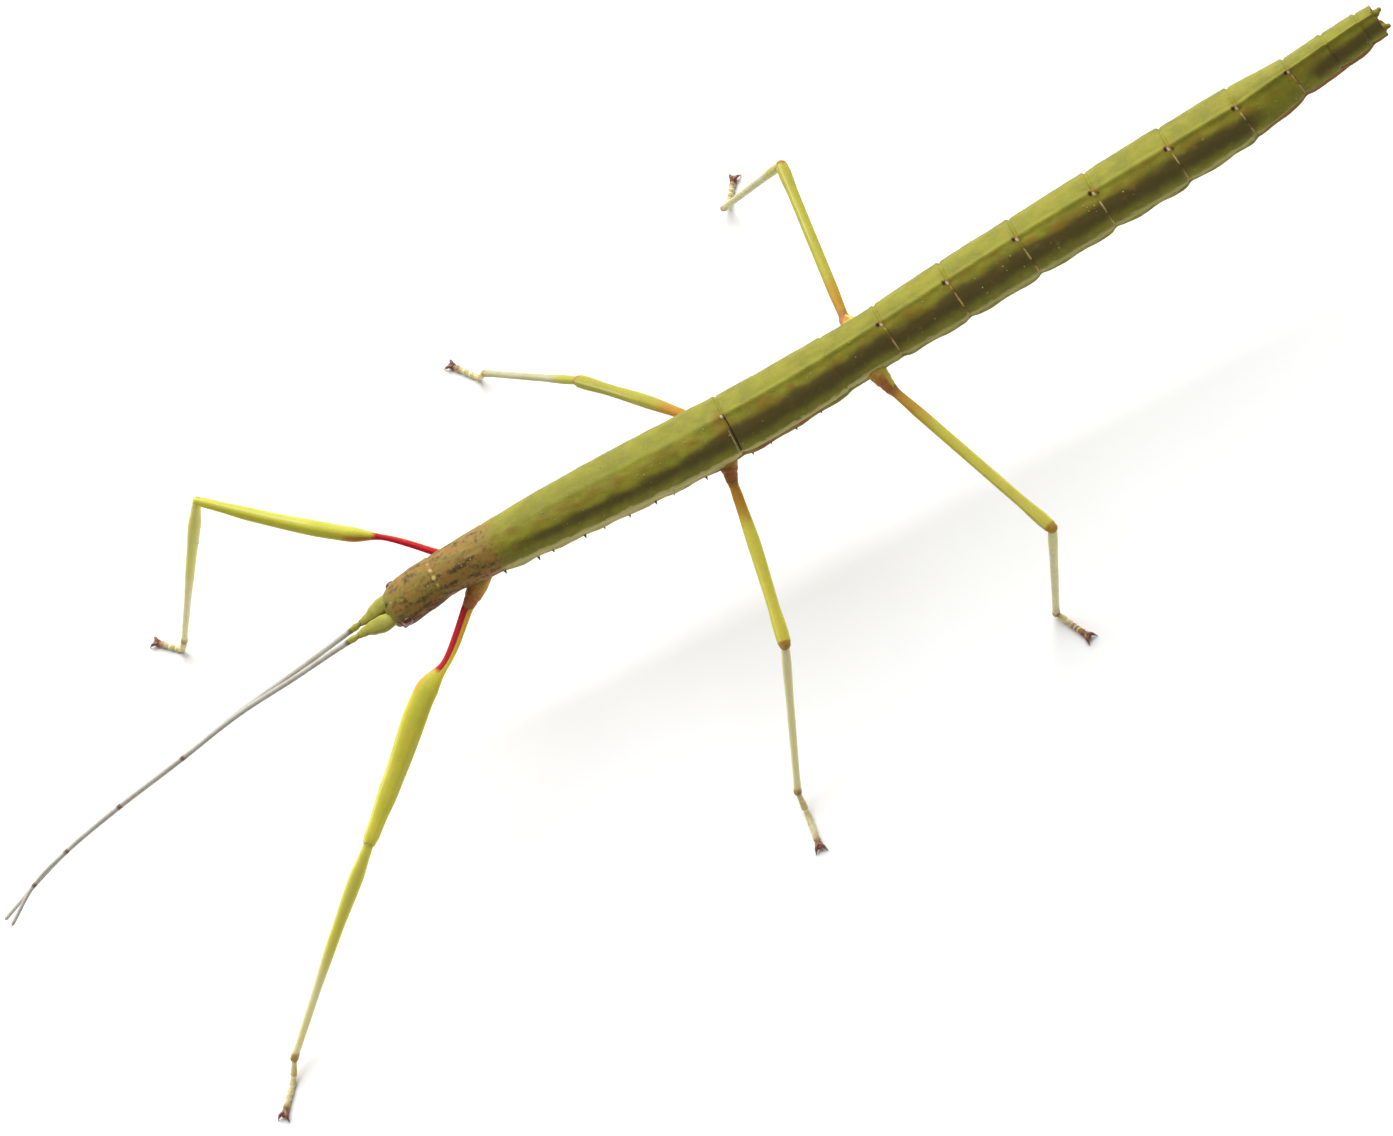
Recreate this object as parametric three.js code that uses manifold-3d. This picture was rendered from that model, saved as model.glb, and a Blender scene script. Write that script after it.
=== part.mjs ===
// Indian stick insect (Carausius morosus), an adult female walking with both feelers held out in front.
// Millimetres, +Z up. The body lies along X with the head at -X, and the animal's left side is at -Y.
// The whole animal is drawn as smooth lengths along curves, parted by thin cuts where its joints are.
import * as THREE from "three";
import { mergeVertices } from "three/addons/utils/BufferGeometryUtils.js";
import Module from "manifold-3d";

const wasm = await Module();
wasm.setup();

const cut = 0.06; // width of the thin cut between two neighbouring pieces
const trunkSides = 20;
const limbSides = 8;
const feelerSides = 6;
const right = new THREE.Vector3(0, 1, 0);
const upward = new THREE.Vector3(0, 0, 1);

// ---- the trunk ----------------------------------------------------------------------------------------

// The middle line of the trunk from the forehead to the tail end. It sags under the thorax and rises to
// the tail. Stations are distances along it, in millimetres from the forehead.
const spine = new THREE.CatmullRomCurve3(
  [
    new THREE.Vector3(-38.2, 0.2, 14.5),
    new THREE.Vector3(-34.0, 0.25, 15.0),
    new THREE.Vector3(-26.2, 0.1, 15.1),
    new THREE.Vector3(-9.3, -0.35, 15.25),
    new THREE.Vector3(0.9, -0.2, 16.05),
    new THREE.Vector3(14.3, 0.0, 17.2),
    new THREE.Vector3(27.8, 0.2, 18.4),
    new THREE.Vector3(39.3, 0.65, 19.95),
  ],
  false,
  "centripetal",
);
const spineLength = spine.getLength();
const headLength = 4.2;

// Each trunk part: its length, then its width and its depth at the front edge, the middle and the rear
// edge. roof is 1 for a round back and more for a back that falls off on both sides of a ridge.
const trunkParts = [
  { name: "prothorax", length: 4.2, width: [3.2, 3.4, 3.75], depth: [2.8, 3.0, 3.2], roof: 1.0 },
  { name: "mesothorax", length: 18.1, width: [3.7, 4.6, 4.75], depth: [3.2, 3.8, 4.0], roof: 1.0 },
  { name: "metathorax", length: 8.3, width: [4.8, 4.75, 4.5], depth: [4.0, 4.0, 3.9], roof: 1.1 },
  { name: "median_segment", length: 4.2, width: [4.4, 4.15, 4.2], depth: [3.9, 3.8, 3.8], roof: 1.1 },
  { name: "abdomen_2", length: 5.25, width: [4.3, 4.5, 4.7], depth: [3.7, 3.9, 4.0], roof: 1.1 },
  { name: "abdomen_3", length: 5.5, width: [4.6, 4.7, 4.7], depth: [3.8, 4.0, 4.0], roof: 1.1 },
  { name: "abdomen_4", length: 5.95, width: [4.55, 4.7, 4.75], depth: [3.8, 3.9, 4.0], roof: 1.1 },
  { name: "abdomen_5", length: 5.8, width: [4.55, 4.7, 4.7], depth: [3.8, 3.9, 3.9], roof: 1.1 },
  { name: "abdomen_6", length: 5.3, width: [4.5, 4.5, 4.4], depth: [3.7, 3.7, 3.6], roof: 1.15 },
  { name: "abdomen_7", length: 4.2, width: [4.2, 3.85, 3.3], depth: [3.5, 3.4, 3.3], roof: 1.2 },
  { name: "abdomen_8", length: 3.0, width: [3.2, 3.1, 3.1], depth: [3.1, 3.1, 3.0], roof: 1.35 },
  { name: "abdomen_9", length: 2.6, width: [3.0, 2.95, 2.8], depth: [2.9, 2.8, 2.7], roof: 1.4 },
  { name: "abdomen_10", length: 2.2, width: [2.7, 2.5, 2.3], depth: [2.6, 2.4, 2.1], roof: 1.4 },
];

const ridgeHeight = 0.12; // the low ridge along the middle of the back
const tailNotch = 0.55; // radius of the notch between the two lobes of the last segment

// ---- the legs -----------------------------------------------------------------------------------------

// Each pair: station is where the hip joint lies along the trunk, out and below are its distances from
// the middle line, and ahead is how far it lies in front of the coxa's root. Then come the lengths of the
// leg's parts. Widths are [place along the part, half width] pairs, and flat is the part's thickness as a
// share of its width. bow lists where the femur's middle line leaves the straight: the place along it, how
// far forward and how far up. shin is how far forward the tibia's middle line leaves the straight.
const legPairs = {
  front: {
    station: 5.05,
    out: 2.15,
    below: 1.6,
    ahead: 1.9,
    coxa: 1.8,
    femur: 17.5,
    tibia: 17.0,
    tarsus: 3.5,
    femurWidths: [
      [0, 0.42],
      [0.12, 0.4],
      [0.25, 0.36],
      [0.38, 0.83],
      [0.5, 0.86],
      [0.78, 0.72],
      [0.92, 0.55],
      [1, 0.5],
    ],
    tibiaWidths: [[0, 0.4], [0.08, 0.5], [0.2, 0.56], [0.45, 0.44], [0.75, 0.3], [1, 0.29]],
    flat: 0.62,
    bow: [[0.23, -0.24, 0.21], [0.38, 0.2, 0.55], [0.7, 0.18, 0.05]],
    shin: 0.14,
  },
  middle: {
    station: 24.9,
    out: 2.8,
    below: 1.6,
    ahead: 0.4,
    coxa: 1.6,
    femur: 12.3,
    tibia: 12.2,
    tarsus: 3.65,
    femurWidths: [[0, 0.43], [0.1, 0.42], [0.4, 0.5], [0.75, 0.44], [0.93, 0.5], [1, 0.46]],
    tibiaWidths: [[0, 0.36], [0.12, 0.37], [0.4, 0.3], [0.9, 0.27], [1, 0.29]],
    flat: 0.85,
    bow: [[0.4, -0.1, 0]],
    shin: 0,
  },
  hind: {
    station: 37.5,
    out: 3.1,
    below: 1.35,
    ahead: -0.6,
    coxa: 1.8,
    femur: 15.35,
    tibia: 12.95,
    tarsus: 2.45,
    femurWidths: [[0, 0.45], [0.06, 0.36], [0.2, 0.42], [0.8, 0.42], [0.94, 0.48], [1, 0.46]],
    tibiaWidths: [[0, 0.36], [0.1, 0.37], [0.4, 0.31], [0.9, 0.27], [1, 0.29]],
    flat: 0.88,
    bow: [],
    shin: 0,
  },
};

// Each leg's pose. Headings are in degrees, 0 straight out from the body, 90 forward and negative
// backward, and slope is the femur's rise. swing is how far the hip is carried forward, and ankle is the
// ankle's height, from which the tibia's slope follows. roll, where there is one, turns the leg's wide face
// about its line.
const poses = {
  front_left: { side: -1, swing: 0, femur: 50.7, slope: -9.0, tibia: 60.5, ankle: 1.1, foot: 38.3 },
  front_right: { side: 1, swing: 0, femur: 51.6, slope: 14.7, tibia: 93.7, ankle: 2.44, foot: 44, roll: 40 },
  middle_left: { side: -1, swing: 0, femur: 9.5, slope: -9.9, tibia: 40.1, ankle: 1.25, foot: 5.9 },
  middle_right: { side: 1, swing: 0.5, femur: 32.6, slope: -22.6, tibia: 37.2, ankle: 2.04, foot: 34.7 },
  hind_left: { side: -1, swing: 0.3, femur: -19.5, slope: -5.4, tibia: 102.7, ankle: 0.44, foot: -24.7 },
  hind_right: { side: 1, swing: 0.85, femur: -4.1, slope: -11.3, tibia: 44.1, ankle: 1.0, foot: -35.4 },
};

const coxaInward = 1.2; // the coxa's root lies inward and upward of the hip, in these shares
const coxaUpward = 0.7;
const coxaWidths = [[0, 0.72], [0.6, 0.62], [1, 0.5]];
const soleHeight = 0.24; // height of the foot's middle line where the foot lies on the ground
const tarsusHalfWidth = 0.27;
const clawLength = 0.75;
const clawSpread = 35; // degrees from the foot's line to each claw
const padHalfWidth = 0.3;

// ---- the feelers --------------------------------------------------------------------------------------

const feelerHalfWidth = 0.25;
const scapeLength = 1.9;
const scapeWidths = [[0, 0.45], [0.35, 0.56], [0.6, 0.5], [0.85, 0.34], [1, 0.28]];
const pedicelLength = 0.8;
const feelerParting = 19.5; // distance along each feeler at which its two lengths meet

// ---- curves and skins ---------------------------------------------------------------------------------

function vector(x, y, z) {
  return new THREE.Vector3(x, y, z);
}

// A closed skin through rings of points that follow each other along a line, flat at both ends.
function skin(rings) {
  const sides = rings[0].length;
  const points = rings.flat();
  const faces = [];
  for (let i = 0; i + 1 < rings.length; i += 1) {
    for (let j = 0; j < sides; j += 1) {
      const near = i * sides + j;
      const next = i * sides + ((j + 1) % sides);
      faces.push(near, next, next + sides);
      faces.push(near, next + sides, near + sides);
    }
  }
  const firstMiddle = points.push(middleOf(rings[0])) - 1;
  const lastMiddle = points.push(middleOf(rings.at(-1))) - 1;
  const lastRing = (rings.length - 1) * sides;
  for (let j = 0; j < sides; j += 1) {
    const k = (j + 1) % sides;
    faces.push(firstMiddle, k, j);
    faces.push(lastMiddle, lastRing + j, lastRing + k);
  }
  const geometry = new THREE.BufferGeometry().setFromPoints(points);
  geometry.setIndex(faces);
  geometry.computeVertexNormals();
  return geometry;
}

function middleOf(ring) {
  const sum = ring.reduce((total, point) => total.add(point), vector(0, 0, 0));
  return sum.divideScalar(ring.length);
}

// The value at a place from 0 to 1 along a smooth rise and fall through [place, value] pairs.
function along(pairs, place) {
  let i = 0;
  while (i + 2 < pairs.length && place > pairs[i + 1][0]) i += 1;
  const [from, first] = pairs[i];
  const [to, last] = pairs[i + 1];
  return THREE.MathUtils.lerp(first, last, THREE.MathUtils.smoothstep(place, from, to));
}

// A limb along a curve: widths are [place, half width] pairs, flat is thickness over width, and spread is
// the direction in which the width lies. Each end is rounded over a length of its own half width, or flat.
function limb(curve, widths, options) {
  const { spread, flat = 1, spans = 8, sides = limbSides, roundStart, roundEnd, grow = 0 } = options;
  const length = curve.getLength();
  const rings = [];
  const ringAt = (place, past, share) => {
    const tangent = curve.getTangentAt(place);
    const centre = curve.getPointAt(place).addScaledVector(tangent, past);
    const depthWay = tangent.clone().cross(spread).normalize();
    const widthWay = depthWay.clone().cross(tangent).normalize();
    const halfWidth = (along(widths, place) + grow) * share;
    const halfDepth = (along(widths, place) * flat + grow) * share;
    rings.push(ellipseRing(centre, widthWay, depthWay, halfWidth, halfDepth, sides));
  };
  const bulge = [0.45, 0.8];
  if (roundStart) {
    const reach = widths[0][1] * flat + grow;
    bulge.toReversed().forEach((step) => ringAt(0, -reach * step, Math.sqrt(1 - step * step)));
  } else if (grow > 0) ringAt(0, -grow, 1);
  for (let i = 0; i <= spans; i += 1) ringAt(i / spans, 0, 1);
  if (roundEnd) {
    const reach = widths.at(-1)[1] * flat + grow;
    bulge.forEach((step) => ringAt(1, reach * step, Math.sqrt(1 - step * step)));
  } else if (grow > 0) ringAt(1, grow, 1);
  return skin(rings);
}

// One ring of points, kept above the ground: what would reach below lies flat on it.
function ellipseRing(centre, widthWay, depthWay, halfWidth, halfDepth, sides) {
  return Array.from({ length: sides }, (_, j) => {
    const angle = ((j + 0.5) / sides) * 2 * Math.PI;
    const point = centre.clone();
    point.addScaledVector(widthWay, Math.cos(angle) * halfWidth);
    point.addScaledVector(depthWay, Math.sin(angle) * halfDepth);
    point.z = Math.max(point.z, 0);
    return point;
  });
}

function curveThrough(points) {
  return new THREE.CatmullRomCurve3(points, false, "centripetal");
}

// ---- joining and cutting ------------------------------------------------------------------------------

function solidOf(geometry) {
  const bare = geometry.clone();
  bare.deleteAttribute("normal");
  bare.deleteAttribute("uv");
  const merged = mergeVertices(bare, 1e-4);
  return new wasm.Manifold(
    new wasm.Mesh({
      numProp: 3,
      vertProperties: new Float32Array(merged.attributes.position.array),
      triVerts: new Uint32Array(merged.index.array),
    }),
  );
}

function geometryOf(solid) {
  const mesh = solid.getMesh();
  const geometry = new THREE.BufferGeometry();
  geometry.setAttribute("position", new THREE.BufferAttribute(mesh.vertProperties, 3));
  geometry.setIndex(new THREE.BufferAttribute(mesh.triVerts, 1));
  geometry.computeVertexNormals();
  return geometry;
}

function without(geometry, ...cutters) {
  const left = cutters.reduce((solid, cutter) => solid.subtract(solidOf(cutter)), solidOf(geometry));
  return geometryOf(left);
}

function joined(...geometries) {
  return geometryOf(geometries.map(solidOf).reduce((whole, piece) => whole.add(piece)));
}

// ---- the scene graph ----------------------------------------------------------------------------------

const insect = new THREE.Group();

function colour(hex, roughness) {
  return { color: hex, roughness, metalness: 0 };
}

const looks = {
  back: colour(0x8f9236, 0.6),
  head: colour(0x6f6a2c, 0.65),
  eye: colour(0x6e3522, 0.25),
  feeler: colour(0xc9c8ba, 0.5),
  scape: colour(0xa9a834, 0.6),
  mouth: colour(0x7c6a35, 0.6),
  hip: colour(0xa8762d, 0.6),
  frontFemur: colour(0xb0a233, 0.6),
  femur: colour(0xb9b03c, 0.6),
  tibia: colour(0xc3c479, 0.55),
  foot: colour(0xa98952, 0.55),
  claw: colour(0x5d3325, 0.4),
};

function add(name, geometry, look) {
  const mesh = new THREE.Mesh(geometry, new THREE.MeshStandardMaterial(look));
  mesh.name = name;
  insect.add(mesh);
}

// ---- trunk --------------------------------------------------------------------------------------------

// The place, the sideways and the upward direction at a station of the trunk.
function spineFrame(station) {
  const place = THREE.MathUtils.clamp(station / spineLength, 0, 1);
  const ahead = spine.getTangentAt(place);
  const up = ahead.clone().cross(right).normalize();
  const side = up.clone().cross(ahead).normalize();
  return { at: spine.getPointAt(place), ahead, side, up };
}

// The front station of each trunk part, worked out from the lengths.
const trunkStarts = trunkParts.map((_, i) => {
  const before = trunkParts.slice(0, i).reduce((sum, part) => sum + part.length, 0);
  return headLength + before;
});

function bend([front, middle, rear], place) {
  const a = 2 * (front + rear - 2 * middle);
  const b = 4 * middle - 3 * front - rear;
  return (a * place + b) * place + front;
}

// The ring of the trunk at a station, as part i shapes it. The back half falls off as its roof says.
function trunkRing(station, i, grow) {
  const part = trunkParts[i];
  const place = (station - trunkStarts[i]) / part.length;
  const halfWidth = bend(part.width, place) / 2 + grow;
  const halfDepth = bend(part.depth, place) / 2 + grow;
  const { at, side, up } = spineFrame(station);
  return Array.from({ length: trunkSides }, (_, j) => {
    const angle = (j / trunkSides) * 2 * Math.PI;
    const height = Math.sin(angle);
    const ridge = j === trunkSides / 4 ? ridgeHeight : 0;
    const reach = height > 0 ? Math.pow(Math.abs(Math.cos(angle)), part.roof) : Math.abs(Math.cos(angle));
    const point = at.clone();
    point.addScaledVector(side, Math.sign(Math.cos(angle)) * reach * halfWidth);
    return point.addScaledVector(up, height * halfDepth + ridge);
  });
}

function trunkPiece(i) {
  const start = trunkStarts[i] + cut / 2;
  const end = trunkStarts[i] + trunkParts[i].length - cut / 2;
  const spans = Math.max(2, Math.round((end - start) / 2.5));
  const rings = [];
  for (let k = 0; k <= spans; k += 1) {
    rings.push(trunkRing(THREE.MathUtils.lerp(start, end, k / spans), i, 0));
  }
  return skin(rings);
}

// A stretch of trunk from one station to another, a little larger all round, to cut other pieces with.
function trunkCutter(from, to) {
  const rings = [];
  const spans = Math.ceil((to - from) / 2);
  for (let k = 0; k <= spans; k += 1) {
    const station = THREE.MathUtils.lerp(from, to, k / spans);
    const i = Math.max(0, trunkStarts.findLastIndex((start) => station >= start));
    rings.push(trunkRing(station, i, cut * 1.5));
  }
  return skin(rings);
}

// The notch in the end of the last segment, cut from above.
function notchCutter() {
  const { at } = spineFrame(spineLength);
  const notch = new THREE.CylinderGeometry(tailNotch, tailNotch, 6, 16);
  notch.rotateX(Math.PI / 2);
  notch.translate(at.x + 0.1, at.y, at.z);
  return notch;
}

function addTrunk() {
  const last = trunkParts.length - 1;
  trunkParts.forEach((part, i) => {
    const piece = trunkPiece(i);
    add(part.name, i === last ? without(piece, notchCutter()) : piece, looks.back);
  });
}

// The plate under the tail, from the front of segment 8 to the tail end, and the two short tail feelers.
function addTailPlates() {
  const start = trunkStarts[trunkParts.length - 3];
  const lengthOfPlate = 7.2;
  const plateHalfWidth = 1.0;
  const points = [0, 0.35, 0.7, 1].map((share) => {
    const { at, up } = spineFrame(start + share * lengthOfPlate);
    return at.addScaledVector(up, -1.5 + share * share * 0.4);
  });
  const widths = [[0, 0.8], [0.3, plateHalfWidth], [0.7, 0.9], [1, 0.5]];
  const plate = limb(curveThrough(points), widths, {
    spread: right,
    flat: 0.42,
    sides: 10,
    spans: 5,
    roundEnd: true,
  });
  add("operculum", without(plate, trunkCutter(start - 2, spineLength)), looks.back);

  for (const side of [-1, 1]) {
    const { at, ahead, up } = spineFrame(spineLength);
    const middle = at.addScaledVector(right, side * 0.62).addScaledVector(up, -0.25);
    const root = middle.clone().addScaledVector(ahead, -0.5);
    const tip = middle.clone().addScaledVector(ahead, 0.35).addScaledVector(right, side * 0.1);
    const cercus = limb(curveThrough([root, middle, tip]), [[0, 0.3], [0.6, 0.3], [1, 0.2]], {
      spread: right,
      spans: 4,
      roundEnd: true,
    });
    const name = side < 0 ? "cercus_left" : "cercus_right";
    add(name, without(cercus, trunkCutter(spineLength - 3, spineLength)), looks.back);
  }
}

// ---- head ---------------------------------------------------------------------------------------------

const headWidth = 3.4;
const headDepth = 2.9;
const headDroop = 0.55; // how far the forehead's middle lies below the line of the trunk
const eyeStation = 1.0;
const eyeRadii = vector(0.42, 0.32, 0.36);
const eyeRise = 0.08; // height of an eye's middle over the middle line at the same place
const mouthStation = 0.6;
const mouthTop = -1.0; // heights of the mouth's two ends over the middle line
const mouthBottom = -2.3;
const mouthForward = 0.7; // how far the lower end lies in front of the upper one
const mouthWidths = [[0, 0.9], [0.5, 0.85], [1, 0.5]];
const palpStation = 1.3;
const palpPath = [[0, 0.65, -1.0], [-0.5, 0.78, -1.75], [-0.8, 0.62, -2.3]]; // back, outward and up

// The head's ring at a station: blunt in front, widest behind the eyes, a little narrower at the neck.
function headRing(station, grow) {
  const place = station / headLength;
  const blunt = Math.pow(1 - Math.pow(1 - Math.min(place * 2.1, 1), 2.2), 1 / 2.2);
  const neck = 1 - 0.04 * THREE.MathUtils.smoothstep(place, 0.7, 1);
  const halfWidth = (headWidth / 2) * (0.5 + 0.5 * blunt) * neck + grow;
  const halfDepth = (headDepth / 2) * (0.45 + 0.55 * blunt) * neck + grow;
  const { at, side, up } = spineFrame(station);
  at.addScaledVector(up, -headDroop * (1 - place));
  return Array.from({ length: trunkSides }, (_, j) => {
    const angle = (j / trunkSides) * 2 * Math.PI;
    const point = at.clone();
    point.addScaledVector(side, Math.cos(angle) * halfWidth);
    return point.addScaledVector(up, Math.sin(angle) * halfDepth);
  });
}

function headShape(grow) {
  const spans = 7;
  const end = headLength - cut / 2 + grow;
  const rings = [];
  for (let k = 0; k <= spans; k += 1) {
    const station = end * Math.pow(k / spans, 1.5);
    rings.push(headRing(station, grow));
  }
  return skin(rings);
}

function eyeShape(side, grow) {
  const { at, up } = spineFrame(eyeStation);
  const eye = new THREE.SphereGeometry(1, 10, 7);
  eye.scale(eyeRadii.x + grow, eyeRadii.y + grow, eyeRadii.z + grow);
  const out = (headWidth / 2) * 0.87;
  eye.translate(at.x, at.y + side * out, at.z - headDroop * 0.5 + up.z * eyeRise);
  return eye;
}

function mouthShape(grow) {
  const { at, up } = spineFrame(mouthStation);
  const top = at.clone().addScaledVector(up, mouthTop);
  const bottom = at.clone().addScaledVector(up, mouthBottom);
  bottom.x -= mouthForward;
  return limb(curveThrough([top, bottom]), mouthWidths, {
    spread: right,
    flat: 0.75,
    sides: 10,
    spans: 5,
    roundEnd: true,
    grow,
  });
}

function addHead() {
  add("head", without(headShape(0), eyeShape(-1, cut), eyeShape(1, cut)), looks.head);
  add("mouthparts", without(mouthShape(0), headShape(cut)), looks.mouth);
  for (const side of [-1, 1]) {
    const hand = side < 0 ? "left" : "right";
    add("eye_" + hand, eyeShape(side, 0), looks.eye);
    const { at } = spineFrame(palpStation);
    const points = palpPath.map(([back, out, up]) => vector(at.x + back, at.y + side * out, at.z + up));
    const palp = limb(curveThrough(points), [[0, 0.26], [1, 0.25]], {
      spread: right,
      sides: feelerSides,
      spans: 5,
      roundEnd: true,
    });
    add("palp_" + hand, without(palp, headShape(cut), mouthShape(cut)), looks.mouth);
  }
}

// ---- feelers ------------------------------------------------------------------------------------------

// The middle lines of the feelers. They start well apart, close up, run one above the other and part
// again at the tips.
const feelerLines = {
  right: curveThrough([
    vector(-37.45, 1.1, 14.3),
    vector(-38.1, 1.02, 14.1),
    vector(-38.85, 0.93, 13.95),
    vector(-39.65, 0.8, 13.8),
    vector(-40.5, 0.66, 13.7),
    vector(-42.4, 0.45, 13.5),
    vector(-45.8, 0.15, 13.05),
    vector(-50.5, -0.1, 12.3),
    vector(-55.5, -0.75, 11.55),
    vector(-61.0, -1.35, 10.85),
    vector(-65.7, -2.05, 10.15),
    vector(-68.7, -2.9, 9.7),
    vector(-71.7, -4.05, 9.4),
  ]),
  left: curveThrough([
    vector(-37.9, -0.52, 14.2),
    vector(-38.6, -0.46, 14.05),
    vector(-39.3, -0.3, 13.9),
    vector(-40.05, -0.16, 13.8),
    vector(-40.85, -0.12, 13.75),
    vector(-42.65, -0.2, 13.65),
    vector(-46.0, -0.4, 13.35),
    vector(-50.6, -0.5, 12.8),
    vector(-55.45, -1.0, 12.05),
    vector(-61.0, -1.6, 11.35),
    vector(-65.65, -2.3, 10.65),
    vector(-68.7, -3.15, 10.2),
    vector(-71.4, -4.75, 9.5),
  ]),
};

// The stretch of a curve between two distances along it.
function stretch(curve, from, to) {
  const total = curve.getLength();
  const steps = Math.max(3, Math.ceil((to - from) / 2.5));
  const pointAt = (k) => curve.getPointAt(THREE.MathUtils.lerp(from, to, k / steps) / total);
  return curveThrough(Array.from({ length: steps + 1 }, (_, k) => pointAt(k)));
}

function addFeelers() {
  const round = { spread: right, sides: feelerSides };
  const tipShape = { spans: 12, roundEnd: true };
  for (const [hand, line] of Object.entries(feelerLines)) {
    const root = 1.1; // the part of the line that lies inside the head
    const scapeEnd = root + scapeLength;
    const pedicelEnd = scapeEnd + pedicelLength;
    const total = line.getLength();
    const even = [[0, feelerHalfWidth], [1, feelerHalfWidth]];
    const thread = (from, to, options) => limb(stretch(line, from, to), even, { ...round, ...options });

    const scape = limb(stretch(line, 0, scapeEnd), scapeWidths, {
      spread: right,
      flat: 0.75,
      spans: 6,
    });
    add("scape_" + hand, without(scape, headShape(cut), eyeShape(-1, cut), eyeShape(1, cut)), looks.scape);
    add("pedicel_" + hand, thread(scapeEnd + cut, pedicelEnd, { spans: 2 }), looks.scape);
    add("feeler_base_" + hand, thread(pedicelEnd + cut, feelerParting, { spans: 10 }), looks.feeler);
    add("feeler_tip_" + hand, thread(feelerParting + cut, total, tipShape), looks.feeler);
  }
}

// ---- legs ---------------------------------------------------------------------------------------------

// The direction of a heading and a slope on one side of the body.
function direction(side, heading, slope) {
  const turn = THREE.MathUtils.degToRad(heading);
  const rise = THREE.MathUtils.degToRad(slope);
  return vector(-Math.sin(turn) * Math.cos(rise), side * Math.cos(turn) * Math.cos(rise), Math.sin(rise));
}

// The joints of one leg: root (inside the trunk), hip, knee, ankle and toe.
function jointsOf(pair, pose) {
  const { at, up } = spineFrame(pair.station);
  const hip = at.addScaledVector(right, pose.side * pair.out).addScaledVector(up, -pair.below);
  hip.x -= pose.swing;
  const inward = vector(pair.ahead + pose.swing, -pose.side * coxaInward, coxaUpward).normalize();
  const root = hip.clone().addScaledVector(inward, pair.coxa);
  const femurWay = direction(pose.side, pose.femur, pose.slope);
  const knee = hip.clone().addScaledVector(femurWay, pair.femur);
  const tibiaSlope = -THREE.MathUtils.radToDeg(Math.asin((knee.z - pose.ankle) / pair.tibia));
  const tibiaWay = direction(pose.side, pose.tibia, tibiaSlope);
  const ankle = knee.clone().addScaledVector(tibiaWay, pair.tibia);
  const footWay = direction(pose.side, pose.foot, 0);
  const footRun = Math.sqrt(pair.tarsus ** 2 - (pose.ankle - soleHeight) ** 2);
  const toe = ankle.clone().addScaledVector(footWay, footRun);
  toe.z = soleHeight;
  const spread = femurWay.clone().cross(tibiaWay).normalize();
  spread.applyAxisAngle(femurWay, THREE.MathUtils.degToRad(pose.roll ?? 0));
  return { root, hip, knee, ankle, toe, femurWay, footWay, spread };
}

function addLeg(name) {
  const pair = legPairs[name.split("_")[0]];
  const pose = poses[name];
  const { root, hip, knee, ankle, toe, femurWay, footWay, spread } = jointsOf(pair, pose);

  const coxaCurve = curveThrough([root, hip]);
  const coxa = (grow) => limb(coxaCurve, coxaWidths, { spread: femurWay, spans: 4, roundEnd: true, grow });
  add("coxa_" + name, without(coxa(0), trunkCutter(pair.station - 4, pair.station + 4)), looks.hip);

  const forward = upward.clone().cross(femurWay).normalize().multiplyScalar(pose.side);
  const bowed = pair.bow.map(([share, reach, rise]) =>
    hip.clone().lerp(knee, share).addScaledVector(forward, reach).addScaledVector(upward, rise),
  );
  const femurCurve = curveThrough([hip, ...bowed, knee]);
  const bothRound = { roundStart: true, roundEnd: true };
  const femur = (grow) =>
    limb(femurCurve, pair.femurWidths, { ...bothRound, spread, flat: pair.flat, spans: 11, grow });
  const bareFemur = without(femur(0), coxa(cut), trunkCutter(pair.station - 4, pair.station + 4));
  add("femur_" + name, bareFemur, name.startsWith("front") ? looks.frontFemur : looks.femur);

  const shin = knee.clone().lerp(ankle, 0.45).addScaledVector(forward, pair.shin);
  const tibiaCurve = curveThrough([knee, shin, ankle]);
  const tibiaFlat = Math.max(pair.flat, 0.86);
  const tibia = (grow) =>
    limb(tibiaCurve, pair.tibiaWidths, { spread, flat: tibiaFlat, spans: 6, roundEnd: true, grow });
  add("tibia_" + name, without(tibia(0), femur(cut)), looks.tibia);

  // The foot comes down from the ankle and then lies on the ground.
  const instep = ankle.clone().lerp(toe, 0.42);
  instep.z = soleHeight;
  const footCurve = curveThrough([ankle, instep, instep.clone().lerp(toe, 0.5), toe]);
  const footWidths = [[0, 0.25], [0.2, tarsusHalfWidth], [1, tarsusHalfWidth]];
  const foot = limb(footCurve, footWidths, { spread: footWay.clone().cross(upward), spans: 6 });
  add("tarsus_" + name, without(foot, tibia(cut)), looks.foot);
  add("claws_" + name, clawsAt(toe, footWay), looks.claw);
}

// The pad at the end of a foot with its two claws.
function clawsAt(toe, footWay) {
  const sideWay = footWay.clone().cross(upward);
  const start = toe.clone().addScaledVector(footWay, cut);
  const tip = start.clone().addScaledVector(footWay, clawLength * 0.6);
  const padWidths = [[0, tarsusHalfWidth], [0.5, padHalfWidth], [1, 0.22]];
  const padShape = { spread: sideWay, sides: feelerSides, spans: 2, roundEnd: true };
  const pad = limb(curveThrough([start, tip]), padWidths, padShape);
  const claws = [-1, 1].map((side) => {
    const away = footWay.clone().applyAxisAngle(upward, THREE.MathUtils.degToRad(side * clawSpread));
    const base = start.clone().addScaledVector(footWay, 0.18);
    const crook = base.clone().addScaledVector(away, clawLength * 0.5);
    crook.z = soleHeight + 0.1;
    const point = base.clone().addScaledVector(away, clawLength * 0.95);
    point.z = 0.12;
    const widths = [[0, 0.2], [0.6, 0.17], [1, 0.1]];
    return limb(curveThrough([base, crook, point]), widths, { spread: sideWay, sides: 4, spans: 3 });
  });
  return joined(pad, ...claws);
}

// ---- the whole animal, its footprint's middle at the origin and its feet on the ground -----------------

addHead();
addFeelers();
addTrunk();
addTailPlates();
Object.keys(poses).forEach(addLeg);

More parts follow.
